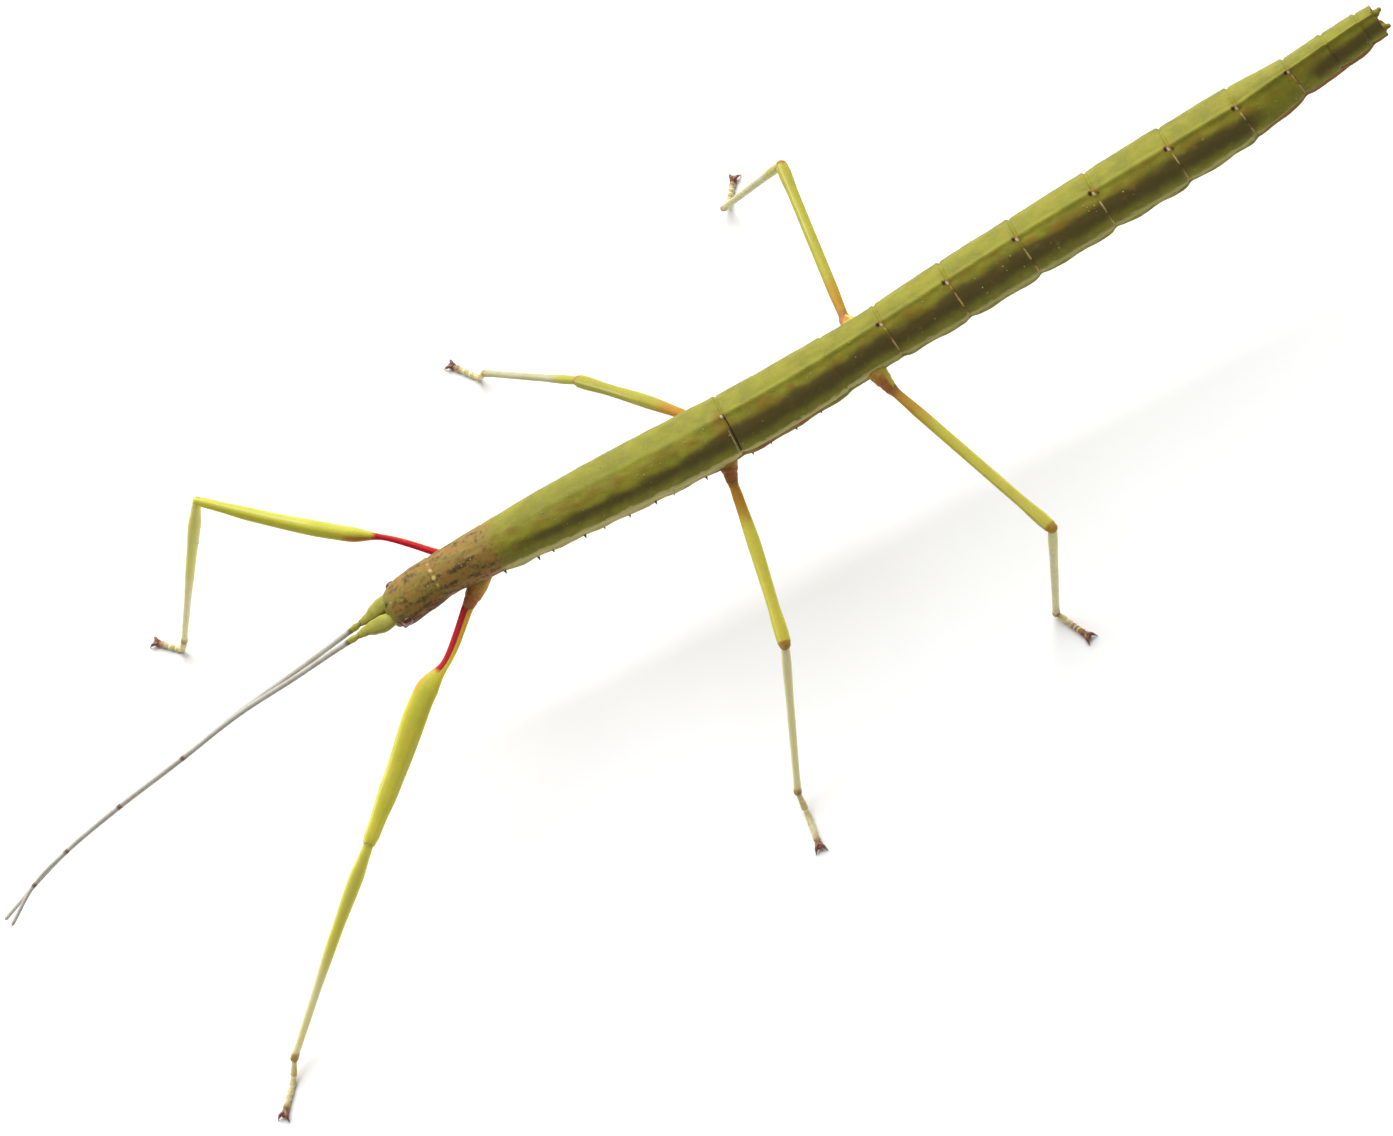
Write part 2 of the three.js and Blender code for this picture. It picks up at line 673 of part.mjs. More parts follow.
const box = new THREE.Box3().setFromObject(insect);
const middle = box.getCenter(vector(0, 0, 0));
insect.position.set(-middle.x, -middle.y, -box.min.z);

export default insect;
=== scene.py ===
import math
from functools import partial

import bpy
import numpy as np
from mathutils import Matrix, Vector, noise


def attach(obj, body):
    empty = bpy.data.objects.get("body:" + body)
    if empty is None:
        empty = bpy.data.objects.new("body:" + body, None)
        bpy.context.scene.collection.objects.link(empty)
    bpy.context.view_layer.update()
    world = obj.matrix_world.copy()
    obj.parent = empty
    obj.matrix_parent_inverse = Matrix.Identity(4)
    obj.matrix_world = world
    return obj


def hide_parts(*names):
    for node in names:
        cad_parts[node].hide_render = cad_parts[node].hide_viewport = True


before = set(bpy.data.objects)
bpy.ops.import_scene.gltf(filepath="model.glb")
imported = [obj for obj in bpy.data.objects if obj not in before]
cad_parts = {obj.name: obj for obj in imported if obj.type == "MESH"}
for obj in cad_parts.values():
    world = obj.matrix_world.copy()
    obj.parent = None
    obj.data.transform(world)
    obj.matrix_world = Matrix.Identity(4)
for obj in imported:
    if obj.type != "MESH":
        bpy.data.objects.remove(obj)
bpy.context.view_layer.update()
mm = 0.001
ground = np.array([16.0344, -0.7693, 0.0])  # from the animal's own millimetres to the frame's
rightWay = np.array([0.0, 1.0, 0.0])
upWay = np.array([0.0, 0.0, 1.0])


def unit(v):
    return v / np.linalg.norm(v, axis=-1, keepdims=True)


def ramp(x, low, high):  # a soft step from 0 at low to 1 at high
    t = np.clip((np.asarray(x, float) - low) / (high - low), 0.0, 1.0)
    return t * t * (3 - 2 * t)


def fade(x, low, high):
    return 1 - ramp(x, low, high)


def hump(x, middle, width):
    return np.exp(-(((x - middle) / width) ** 2))


def blot(x, wide, y, high):  # a soft round spot
    return hump(np.hypot(x / wide, y / high), 0, 1)


def alongPairs(pairs, place):  # a smooth rise and fall through (place, value) pairs
    place = np.atleast_1d(np.asarray(place, float))
    result = np.full(place.shape, float(pairs[0][1]))
    for (low, first), (high, last) in zip(pairs, pairs[1:]):
        inside = place >= low
        result[inside] = first + (last - first) * ramp(place[inside], low, high)
    return result


def smoothPath(points, steps=40):  # a centripetal curve through the points: its places and the way run
    p = np.array(points, float)
    p = np.vstack([2 * p[0] - p[1], p, 2 * p[-1] - p[-2]])
    t = np.linspace(0, 1, steps, endpoint=False)[:, None]
    parts = []
    for i in range(1, len(p) - 2):
        a, b, c, d = p[i - 1:i + 3]
        u, v, w = (max(np.linalg.norm(q), 1e-6) ** 0.5 for q in (b - a, c - b, d - c))
        leave = ((b - a) / u - (c - a) / (u + v) + (c - b) / v) * v
        arrive = ((c - b) / v - (d - b) / (v + w) + (d - c) / w) * v
        parts.append((2 * t**3 - 3 * t**2 + 1) * b + (t**3 - 2 * t**2 + t) * leave
                     + (3 * t**2 - 2 * t**3) * c + (t**3 - t**2) * arrive)
    places = np.vstack(parts + [p[-2][None]])
    run = np.concatenate([[0.0], np.cumsum(np.linalg.norm(np.diff(places, axis=0), axis=1))])
    return places, run


def onPath(path, distances, reach=0.02):  # positions and directions at distances along a path
    places, run = path

    def placeAt(where):
        return np.stack([np.interp(where, run, places[:, k]) for k in range(3)], axis=-1)

    ahead = placeAt(np.minimum(distances + reach, run[-1])) - placeAt(np.maximum(distances - reach, 0))
    return placeAt(distances), unit(ahead)


def link(name, data):  # a new object in the scene
    made = bpy.data.objects.new(name, data)
    bpy.context.scene.collection.objects.link(made)
    return made


def addMesh(name, vertices, edges, faces, marks):  # millimetres become metres in the frame
    mesh = bpy.data.meshes.new(name)
    mesh.from_pydata(((np.asarray(vertices) + ground) * mm).tolist(), edges, faces)
    for key, values in marks.items():
        values = np.asarray(values, np.float32)
        kind, field = ("FLOAT", "value") if values.ndim == 1 else ("FLOAT_VECTOR", "vector")
        mesh.attributes.new(key, kind, "POINT").data.foreach_set(field, values.ravel())
    return link(name, mesh)


def place(name, part, finish):
    vertices, faces, marks = part
    piece = addMesh(name, vertices, [], faces, marks)
    piece.data.polygons.foreach_set("use_smooth", [True] * len(faces))
    piece.data.materials.append(finish)
    return piece


def finishPiece(piece, slotName, *nodes):  # every piece rides on the one body and hides the nodes it stands for
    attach(piece, "root")
    if nodes:
        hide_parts(*nodes)


def addPiece(name, part, finish, slotName, *nodes):
    finishPiece(place(name, part, finish), slotName, *nodes)


def loft(rings, marks):  # closed skin over rings of points: vertices, faces, marks with both poles
    n, m = rings.shape[:2]
    vertices = np.vstack([rings.reshape(-1, 3), rings[0].mean(axis=0), rings[-1].mean(axis=0)])
    i, j = np.meshgrid(np.arange(n - 1), np.arange(m), indexing="ij")
    k = (j + 1) % m
    quads = np.stack([i * m + j, i * m + k, (i + 1) * m + k, (i + 1) * m + j], axis=-1).reshape(-1, 4)
    loop = np.arange(m)
    after = (loop + 1) % m
    first = np.stack([np.full(m, n * m), after, loop], axis=-1)
    last = np.stack([np.full(m, n * m + 1), (n - 1) * m + loop, (n - 1) * m + after], axis=-1)
    faces = quads.tolist() + first.tolist() + last.tolist()
    corners = (vertices - vertices.mean(axis=0))[quads]
    room = sum(np.einsum("ij,ij->", corners[:, 0], np.cross(corners[:, k], corners[:, k + 1]))
               for k in (1, 2))
    if room < 0:  # inside out
        faces = [face[::-1] for face in faces]
    closed = {key: np.concatenate([np.asarray(v).reshape(-1), [np.mean(v[0]), np.mean(v[-1])]])
              for key, v in marks.items()}
    return vertices, faces, closed


def gather(parts):  # several lofts as one
    vertices, faces, marks = [], [], {}
    for v, f, k in parts:
        start = sum(len(q) for q in vertices)
        vertices.append(v)
        faces += [[index + start for index in face] for face in f]
        for key, values in k.items():
            marks.setdefault(key, []).append(values)
    return np.vstack(vertices), faces, {key: np.concatenate(v) for key, v in marks.items()}


def addNode(tree, kind, settings=None, links=None):  # a node with its settings and links
    made = tree.nodes.new(kind)
    for key, value in (settings or {}).items():
        if isinstance(key, int) or key in made.inputs:
            made.inputs[key].default_value = value
        else:
            setattr(made, key, value)
    for key, source in (links or {}).items():
        output = source.outputs[0] if isinstance(source, bpy.types.Node) else source  # a node gives its first
        tree.links.new(output, made.inputs[key])
    return made


def linear(code):  # an sRGB hex colour as linear red, green, blue, 1
    parts = [int(code[i:i + 2], 16) / 255 for i in (0, 2, 4)]
    return tuple(c / 12.92 if c <= 0.04045 else ((c + 0.055) / 1.055) ** 2.4 for c in parts) + (1.0,)


def finishOf(name, base, roughness, coats, speckle, dents, glow=0.0, gloss=0.3, coat=0.0):
    # Insect skin: hardened chitin over waxy pigment, IOR 1.5, near that of chitin.
    # base: two colours and the size in mm of the patches that they make.
    # coats: each (mark, colour, from, to, patch size mm, raggedness) lays a colour where the mark is high.
    # speckle: colour, grain size in mm, how much. dents: depth in mm and grain size in mm of the fine relief,
    # whose grains are drawn a little coarser than in life, so that they show.
    # glow: how much light passes through thin walls. gloss: how strong the highlights are. coat: wet film.
    material = bpy.data.materials.new(name)
    material.use_nodes = True
    material.node_tree.nodes.clear()
    add = partial(addNode, material.node_tree)
    spot = add("ShaderNodeTexCoord").outputs["Object"]
    (light, dark, patch), (grainColour, grain, amount), (depth, fine) = base, speckle, dents
    clouds, dust, relief = (
        add("ShaderNodeTexNoise", {"Scale": 1 / (size * mm), "Detail": detail, "Roughness": rough},
            {"Vector": spot})
        for size, detail, rough in ((patch, 4.0, 0.6), (grain, 3.0, 0.7), (fine, 5.0, 0.65)))

    def lay(value, low, high, most, under, code):  # a colour over what lies under it, where value is high
        smooth = {"interpolation_type": "SMOOTHSTEP", 1: low, 2: high, 4: most}
        cover = add("ShaderNodeMapRange", smooth, {0: value})
        settings, links = {"data_type": "RGBA", 7: linear(code)}, {0: cover}
        if isinstance(under, str):
            settings[6] = linear(under)
        else:
            links[6] = under
        return add("ShaderNodeMix", settings, links).outputs[2]

    colour = lay(clouds, 0.36, 0.64, 1.0, light, dark)
    colour = lay(dust, 0.5, 0.68, amount, colour, grainColour)
    for mark, code, low, high, size, ragged in coats:
        value = add("ShaderNodeAttribute", {"attribute_name": mark}).outputs["Fac"]
        wave = add("ShaderNodeTexNoise", {"Scale": 1 / (size * mm), "Detail": 3.0}, {"Vector": spot})
        shift = add("ShaderNodeMath", {"operation": "MULTIPLY_ADD", 1: ragged, 2: -ragged / 2}, {0: wave})
        total = add("ShaderNodeMath", {"operation": "ADD"}, {0: value, 1: shift})
        colour = lay(total, low, high, 1.0, colour, code)
    bump = add("ShaderNodeBump", {"Strength": 0.6, "Distance": depth * mm}, {"Height": relief})
    rough = add("ShaderNodeMapRange", {1: 0.3, 2: 0.7, 3: roughness - 0.08, 4: roughness + 0.1}, {0: dust})
    settings = {"IOR": 1.5, "Coat Weight": coat, "Specular IOR Level": gloss, "Subsurface Weight": glow,
                "Subsurface Radius": (1.0, 0.9, 0.5), "Subsurface Scale": 0.8 * mm}
    shader = add("ShaderNodeBsdfPrincipled", settings,
                 {"Base Color": colour, "Roughness": rough, "Normal": bump})
    add("ShaderNodeOutputMaterial", {}, {"Surface": shader})
    return material


# One skin from the forehead to the tail end.
trunk = {
    "spine": [(-38.2, 0.2, 14.5), (-34.0, 0.25, 15.0), (-26.2, 0.1, 15.1), (-9.3, -0.35, 15.25),
              (0.9, -0.2, 16.05), (14.3, 0.0, 17.2), (27.8, 0.2, 18.4), (39.3, 0.65, 19.95)],
    # name, length in mm, widths and depths at front, middle and rear
    "rings": [("prothorax", 4.2, (3.2, 3.4, 3.75), (2.8, 3.0, 3.2)),
              ("mesothorax", 18.1, (3.7, 4.6, 4.75), (3.2, 3.8, 4.0)),
              ("metathorax", 8.3, (4.8, 4.75, 4.5), (4.0, 4.0, 3.9)),
              ("median_segment", 4.2, (4.4, 4.15, 4.2), (3.9, 3.8, 3.8)),
              ("abdomen_2", 5.25, (4.3, 4.5, 4.7), (3.7, 3.9, 4.0)),
              ("abdomen_3", 5.5, (4.6, 4.7, 4.7), (3.8, 4.0, 4.0)),
              ("abdomen_4", 5.95, (4.55, 4.7, 4.75), (3.8, 3.9, 4.0)),
              ("abdomen_5", 5.8, (4.55, 4.7, 4.7), (3.8, 3.9, 3.9)),
              ("abdomen_6", 5.3, (4.5, 4.5, 4.4), (3.7, 3.7, 3.6)),
              ("abdomen_7", 4.2, (4.2, 3.85, 3.3), (3.5, 3.4, 3.3)),
              ("abdomen_8", 3.0, (3.2, 3.1, 3.1), (3.1, 3.1, 3.0)),
              ("abdomen_9", 2.6, (3.0, 2.95, 2.8), (2.9, 2.8, 2.7)),
              ("abdomen_10", 2.2, (2.7, 2.5, 2.3), (2.6, 2.4, 2.1))],
    "headLength": 4.2, "headWidth": 3.4, "headDepth": 2.9, "headDroop": 0.55,
    # by station in mm: roundness of the back (2 is an ellipse, less is a roof), ridge height, lean in degrees
    "round": [(0, 2.0), (9, 2.0), (22, 1.95), (26, 1.9), (27, 1.75), (60, 1.78), (66, 1.65), (70, 1.45),
              (80, 1.4)],
    "ridge": [(0, 0.0), (5, 0.01), (22, 0.04), (27, 0.1), (60, 0.1), (66, 0.14), (78, 0.17)],
    "roll": [(0, 0), (26, 5), (36, 7), (48, 4), (62, 8), (68, 13), (80, 10)],
    "groove": 0.1, "rim": 0.05, "notch": 0.55, "lobe": 0.12, "marginHeight": 0.06, "marginFold": 0.07,
    "seamStrengths": (0.5, 0.35, 1.0, 0.5),  # for the first seams; the rest are full
    "forehead": 0.22, "foreheadShares": (0.1, 0.25, 0.45, 0.7, 0.88),
    "tailHollow": ((0.96, 0.01), (0.85, -0.12), (0.5, -0.28), (0.2, -0.3)),  # share of the width, depth in mm
    "step": 0.17, "fineStep": 0.06, "sides": 144,
}
spinePath = smoothPath(trunk["spine"], 200)
spineLength = spinePath[1][-1]


def spineAt(stations):
    at, ahead = onPath(spinePath, np.clip(stations, 0, spineLength))
    up = unit(np.cross(ahead, rightWay))
    side = np.cross(up, ahead)
    return at, ahead, side, up


def spineSpot(station):  # the same at a single station
    return (q[0] for q in spineAt(np.array([station])))


seams = np.cumsum([trunk["headLength"]] + [ring[1] for ring in trunk["rings"]])  # last is the tail end


def trunkSizes(stations):  # half width and half depth at each station
    share = np.clip(stations / trunk["headLength"], 0, 1)
    blunt = (1 - (1 - np.minimum(share * 2.1, 1)) ** 2.2) ** (1 / 2.2)
    neck = 1 - 0.04 * ramp(share, 0.7, 1)
    wide = trunk["headWidth"] / 2 * (0.5 + 0.5 * blunt) * neck
    deep = trunk["headDepth"] / 2 * (0.45 + 0.55 * blunt) * neck
    for start, (name, length, widths, depths) in zip(seams, trunk["rings"]):
        inside = stations >= start
        t = np.clip((stations[inside] - start) / length, 0, 1)
        for target, (front, middle, rear) in ((wide, widths), (deep, depths)):
            swell = 2 * (front + rear - 2 * middle) * t + 4 * middle - 3 * front - rear
            target[inside] = (swell * t + front) / 2
    return wide, deep


def soften(v):
    kernel = hump(np.arange(-16, 17) * 0.05, 0, 0.3)
    return np.convolve(np.pad(v, 16, mode="edge"), kernel / kernel.sum(), mode="valid")


trunkStations = np.arange(0, spineLength, 0.05)
toRear = ramp(trunkStations, 0.5, 1.5)
trunkWide, trunkDeep = (v * (1 - toRear) + soften(v) * toRear for v in trunkSizes(trunkStations))


def trunkRing(station, angle):  # how far a point of the ring lies from its middle, across and up
    wide, deep = np.interp(station, trunkStations, trunkWide), np.interp(station, trunkStations, trunkDeep)
    roundness = alongPairs(trunk["round"], station.ravel()).reshape(station.shape)
    power = np.where(np.sin(angle) > 0, 2 / roundness, 1.0)
    across = np.sign(np.cos(angle)) * np.abs(np.cos(angle)) ** power * wide
    return across, np.sign(np.sin(angle)) * np.abs(np.sin(angle)) ** power * deep


# Where the markings lie: stations in mm, turns from the ridge in radians (+ to the left), degrees below
# the widest line.
pattern = {
    "thorax": ((7.5, 9.5), (33, 36)), "headEnd": (3.9, 4.5), "brownEnd": (7.4, 10.5),
    "pale": (-16, -6), "paleStart": (7, 10), "paleAbdomen": (35, 39), "paleTail": (66, 70),
    "rustStart": ([8, 20, 26, 27, 34, 36], [25, 21, 12, 6, 6, 16]), "tailRed": (66.5, 68),
    # leftFlankPaintedShade: turns from the ridge where painted shade darkens the left face
    "leftFlankPaintedShade": (0.15, 0.6), "flankRight": (0.75, 1.2), "flankFade": (0.7, 1.25), "flankStart": (6, 13),
    "flankGap": ((66.5, 69), (71.5, 73)), "flankBelow": (12, 24),
    "amberLeft": (0.8, 0.3, 0.24), "amberRight": (0.3, -0.35, 0.22), "crossLine": 23.1,
    "tan": ((3.2, 5.6), (7.6, 9.6)), "cheek": (3.2, 5.2), "tailEdge": (0.3, 0.05),
}


def trunkMarkings(s, turn, below, back, grain, broad, fine):  # each from 0 to 1
    thorax = ramp(s, *pattern["thorax"][0]) * fade(s, *pattern["thorax"][1])
    head = fade(s, *pattern["headEnd"])
    ragged = below + 6 * grain + 4 * fine
    rustStart = np.interp(s, *pattern["rustStart"])
    toRust = ramp(ragged, rustStart - 3, rustStart + 3)
    pale = ramp(ragged, *pattern["pale"]) * (1 - toRust)
    pale *= ramp(s, *pattern["paleStart"]) * (1 - 0.4 * ramp(s, *pattern["paleAbdomen"]))
    pale *= 1 - 0.7 * ramp(s, *pattern["paleTail"])
    rust = toRust * fade(below, rustStart + 12, rustStart + 22)
    rust *= ramp(s, *pattern["paleStart"]) * (0.4 + 0.5 * thorax) * (0.75 + 0.7 * grain)
    rust = np.maximum(rust, 0.8 * ramp(ragged, -10, 14) * ramp(s, *pattern["tailRed"]))
    later = 0.22 * fade(s, 22, 27)
    # painted shade over the left face from close by the ridge, and umber low on both flanks
    flank = ramp(turn + 0.12 * broad - later, *pattern["leftFlankPaintedShade"])
    flank += ramp(-turn, *pattern["flankRight"])
    flank *= 1 - 0.75 * ramp(np.abs(turn), *pattern["flankFade"])
    gap, again = (ramp(s, *span) for span in pattern["flankGap"])
    flank *= (1 - 0.75 * gap + 0.7 * again) * fade(below, *pattern["flankBelow"])
    flank *= ramp(s, *pattern["flankStart"])
    amber = sum(much * hump(turn + 0.25 * broad, middle, width)
                for much, middle, width in (pattern["amberLeft"], pattern["amberRight"]))
    amber *= ramp(s, 6, 9) * (0.75 + 0.8 * grain)

    # the abdomen's seams: dark dots and a pale one by the ridge, a broken cream line down the side
    dark, fleck, line = [], [], []
    sideOnly = ramp(np.abs(turn), 0.1, 0.3) * fade(below, 8, 20)
    ridgeMm = turn * 2.0  # distance from the ridge, mm
    for k, seam in enumerate(seams[4:11]):
        wobble = 0.06 * math.sin(3.1 * k)
        bend = s - seam - 0.1 * np.sin(np.clip(np.abs(turn), 0, 2) * 1.6)  # bowed backward down the side
        dark.append(blot(s - seam + 0.22 + wobble, 0.17, ridgeMm - 0.1 + 2 * wobble, 0.2))
        dark.append((0.55 + 0.2 * math.sin(5 * k)) * blot(s - seam - 0.25, 0.15, ridgeMm - 0.3, 0.2))
        dark.append(0.4 * sideOnly * hump(bend, 0.12, 0.1))
        fleck.append(blot(s - seam + 0.02, 0.12, ridgeMm - 0.18, 0.16))
        broken = 0.7 + 0.3 * np.sin(9 * turn + k) + 0.5 * fine
        line.append(broken * sideOnly * (0.3 + 0.7 * (turn > 0)) * hump(bend, 0, 0.075))
        amber = np.maximum(amber, 0.9 * blot(s - seam, 0.55, ridgeMm - 0.1, 0.6))
        rust = np.maximum(rust, 0.75 * blot(bend, 0.35, below + 8, 18))
        rust = np.maximum(rust, (0.5 + 0.6 * grain) * sideOnly * (turn > 0) * hump(bend, 0.02, 0.16))

    # between the two long thorax plates the groove is dark brown
    seam = seams[2]
    waved = s - 0.06 * np.sin(turn * 3)
    dark.append(0.85 * hump(waved, seam + 0.08, 0.09) * ramp(turn, -0.25, 0.05)
                * fade(below, -12, 4))
    line.append(0.8 * hump(waved, seam - 0.1, 0.06) * ramp(turn, 0.25, 0.6) * fade(below, 10, 25))
    fleck.append(blot(s - seam + 0.05, 0.12, turn * 2.2 - 0.05, 0.16))
    amber = np.maximum(amber, blot(s - seam + 0.3, 0.7, turn * 2.2 - 0.3, 1.0))

    # the neck is edged with cream beads, a faint line crosses the mesothorax, the forehead has a dark spot
    beads = 0.55 + 0.45 * np.sin(turn * 17 + 1.5)
    line.append(1.2 * hump(s, seams[0] - 0.05, 0.15) * hump(turn, 0.3, 0.75) * beads)
    line.append(0.3 * hump(s, pattern["crossLine"], 0.08) * (np.abs(turn) < 1.7))
    dark.append(0.8 * head * blot(s - 0.25, 0.3, turn * 1.4, 0.28))
    fleck.append(0.8 * head * blot(s - 0.62, 0.12, turn * 1.4 - 0.15, 0.14))

    # head and prothorax are brown and mottled
    front = fade(s + 1.2 * grain, *pattern["brownEnd"]) * (0.4 + 0.6 * ramp(s, 0.1, 0.9))
    patches = front * ramp(np.abs(turn), -0.6, 0.5)
    tanStart, tanEnd = pattern["tan"]
    tan = ramp(s + grain, *tanStart) * fade(s, *tanEnd) * ramp(ragged, -48, -12)
    edgeStart, edgeEnd = (seams[-1] - before for before in pattern["tailEdge"])
    return {"pale": pale, "rust": rust, "dark": np.max(dark, axis=0), "fleck": np.max(fleck, axis=0),
            "line": np.max(line, axis=0), "amber": amber, "flank": flank, "front": front,
            "brownPatch": patches * (0.6 + 0.6 * grain + 0.4 * fine),
            "orangePatch": patches * (0.45 - 0.7 * grain + 0.5 * fine), "tan": tan,
            "cheek": fade(s + grain, *pattern["cheek"]) * ramp(below + 12 * fine, -50, 10),
            "tailEdge": ramp(s, edgeStart, edgeEnd), "grain": back * ramp(s, 1.0, 3.0)}


def trunkSkin():
    near = [np.arange(-0.6, 0.61, trunk["fineStep"]) + seam for seam in seams[:-1]]
    every = [np.arange(0, spineLength, trunk["step"]), [spineLength]]
    stations = np.unique(np.round(np.concatenate(every + near), 3))
    stations = stations[np.append(np.diff(stations) > 0.025, True)]
    angle = np.arange(trunk["sides"]) / trunk["sides"] * 2 * math.pi
    s, a = np.meshgrid(stations, angle, indexing="ij")
    lean = np.radians(alongPairs(trunk["roll"], stations))[:, None]
    turn = (a - math.pi / 2 - lean + math.pi) % (2 * math.pi) - math.pi
    below = np.degrees(np.arctan2(-np.sin(a), np.abs(np.cos(a))))
    back = ramp(-below, -25, 5)  # 1 over the back plates, 0 under the belly

    grain, broad, fine = np.zeros_like(s), np.zeros_like(s), np.zeros_like(s)
    for i in range(s.shape[0]):
        for j in range(s.shape[1]):
            x, y, z = s[i, j], 2.2 * math.cos(a[i, j]), 2.2 * math.sin(a[i, j])
            broad[i, j] = noise.noise(Vector((x * 0.55, y * 1.1, z * 1.1)))
            grain[i, j] = noise.noise(Vector((x * 1.3, y * 2.2, z * 2.2 + 9)))
            fine[i, j] = noise.noise(Vector((x * 4.5, y * 4.5, z * 4.5)))

    offset = alongPairs(trunk["ridge"], stations)[:, None] * hump(turn, 0, 0.1)
    margin = trunk["marginHeight"] * hump(below, 21, 5) - trunk["marginFold"] * hump(below, 8, 5)
    offset += margin * ramp(s, 6, 9)
    for k, seam in enumerate(seams[:-1]):  # each plate's rear rim stands over the next one's front edge
        strength = trunk["seamStrengths"][k] if k < len(trunk["seamStrengths"]) else 1.0
        step = trunk["rim"] * hump(s, seam - 0.16, 0.13) - trunk["groove"] * hump(s, seam + 0.05, 0.09)
        offset += back * strength * step
        offset -= strength * trunk["lobe"] * hump(s, seam + 0.1, 0.35) * hump(below, 12, 22)
    offset += 0.04 * np.sin(s * 2.1) * (1 - back)
    offset += (0.025 * grain + 0.03 * broad + 0.012 * fine) * ramp(s, 0.2, 1.0)

    notch = trunk["notch"] * hump(np.cos(a) * 1.2, 0, 0.5) * (np.sin(a) > 0)
    pull = notch * np.clip((s - seams[-2]) / (seams[-1] - seams[-2]), 0, 1) ** 2
    at, ahead, side, up = (q.reshape(s.shape + (3,)) for q in spineAt((s - pull).ravel()))
    droop = trunk["headDroop"] * np.clip(1 - s / trunk["headLength"], 0, 1)
    across, high = trunkRing(s, a)
    rings = at - up * droop[..., None]
    rings = rings + side * (across + np.cos(a) * offset)[..., None]
    rings = rings + up * (high + np.sin(a) * offset)[..., None]

    # rounded forehead in front, a shallow hollow behind
    middle, end = rings[0].mean(axis=0), rings[-1].mean(axis=0)
    forehead = [middle + (rings[0] - middle) * k - ahead[0, 0] * trunk["forehead"] * (1 - k**2) ** 0.5
                for k in trunk["foreheadShares"]]
    hollow = [end + (rings[-1] - end) * k + ahead[-1, 0] * dip for k, dip in trunk["tailHollow"]]
    full = np.concatenate([np.array(forehead), rings, np.array(hollow)])
    marks = {key: np.concatenate([np.repeat(v[:1], len(forehead), 0), v, np.repeat(v[-1:], len(hollow), 0)])
             for key, v in trunkMarkings(s, turn, below, back, grain, broad, fine).items()}
    return loft(full, marks)


# Back and flanks: satin skin, yellow-green with olive patches under a waxy bloom that hides most highlights.
# Flanks darken to umber low down, and painted shade darkens the left face from close by the ridge; head and
# neck go to brown, and seams and side edges show cream and rust.
bodyFinish = finishOf(
    "satinCuticleBack", ("8d8a26", "7d7b24", 1.6), 0.55,
    # flank: umber low on the flanks, painted shade over the left face
    [("flank", "594f24", 0.15, 1.0, 0.8, 0.3),
     ("amber", "85691f", 0.15, 1.3, 0.5, 0.25),
     ("front", "8f7838", 0.2, 1.05, 0.6, 2.2),
     ("tan", "a3793c", 0.2, 1.3, 0.3, 1.5),
     ("cheek", "6c3826", 0.15, 0.95, 0.35, 1.0),
     ("brownPatch", "5a4426", 0.3, 1.15, 0.26, 1.7),
     ("orangePatch", "9c6a30", 0.35, 1.1, 0.24, 1.6),
     ("pale", "bab06c", 0.3, 0.9, 0.4, 0.3),
     ("rust", "8f5a2a", 0.35, 0.95, 0.3, 0.35),
     ("line", "c2ae6c", 0.25, 0.85, 0.15, 0.6),
     ("dark", "3f291c", 0.3, 0.8, 0.12, 0.5),
     ("fleck", "d6c2aa", 0.35, 0.75, 0.1, 0.2),
     ("tailEdge", "a87840", 0.3, 0.8, 0.3, 0.3)],
    ("9b9a3c", 0.18, 0.3), (0.04, 0.11), gloss=0.18)

trunkPart = trunkSkin()
trunkPiece = place("trunkSkin", trunkPart, bodyFinish)
print("trunk skin:", len(trunkPart[1]), "faces")


# Lengths and widths in mm; widths are (share of the length, half width); bows are (share, ahead, up).
legPairs = {
    "front": {"station": 5.05, "out": 2.15, "below": 1.6, "ahead": 1.9, "coxa": 1.8, "femur": 17.5,
              "tibia": 17.0, "tarsus": 3.5, "flat": 0.62,
              "bow": [(0.23, -0.24, 0.21), (0.38, 0.2, 0.55), (0.7, 0.18, 0.05)],
              "shin": 0.14,
              "femurWidths": [(0, 0.42), (0.12, 0.38), (0.25, 0.33), (0.38, 0.82), (0.5, 0.86), (0.78, 0.72),
                              (0.92, 0.56), (0.97, 0.54), (1, 0.46)],
              "tibiaWidths": [(0, 0.34), (0.05, 0.4), (0.16, 0.52), (0.45, 0.4), (0.75, 0.29), (0.96, 0.26),
                              (1, 0.3)]},
    "middle": {"station": 24.9, "out": 2.8, "below": 1.6, "ahead": 0.4, "coxa": 1.6, "femur": 12.3,
               "tibia": 12.2, "tarsus": 3.65, "flat": 0.85, "bow": [(0.4, -0.1, 0)], "shin": 0,
               "femurWidths": [(0, 0.42), (0.05, 0.34), (0.12, 0.38), (0.4, 0.48), (0.75, 0.42), (0.93, 0.49),
                               (0.98, 0.47), (1, 0.4)],
               "tibiaWidths": [(0, 0.28), (0.05, 0.32), (0.12, 0.34), (0.4, 0.28), (0.9, 0.25), (1, 0.29)]},
    "hind": {"station": 37.5, "out": 3.1, "below": 1.35, "ahead": -0.6, "coxa": 1.8, "femur": 15.35,
             "tibia": 12.95, "tarsus": 2.45, "flat": 0.88, "bow": [], "shin": 0,
             "femurWidths": [(0, 0.44), (0.04, 0.34), (0.2, 0.4), (0.8, 0.4), (0.94, 0.47), (0.98, 0.45),
                             (1, 0.38)],
             "tibiaWidths": [(0, 0.28), (0.04, 0.32), (0.1, 0.34), (0.4, 0.29), (0.9, 0.25), (1, 0.28)]},
}
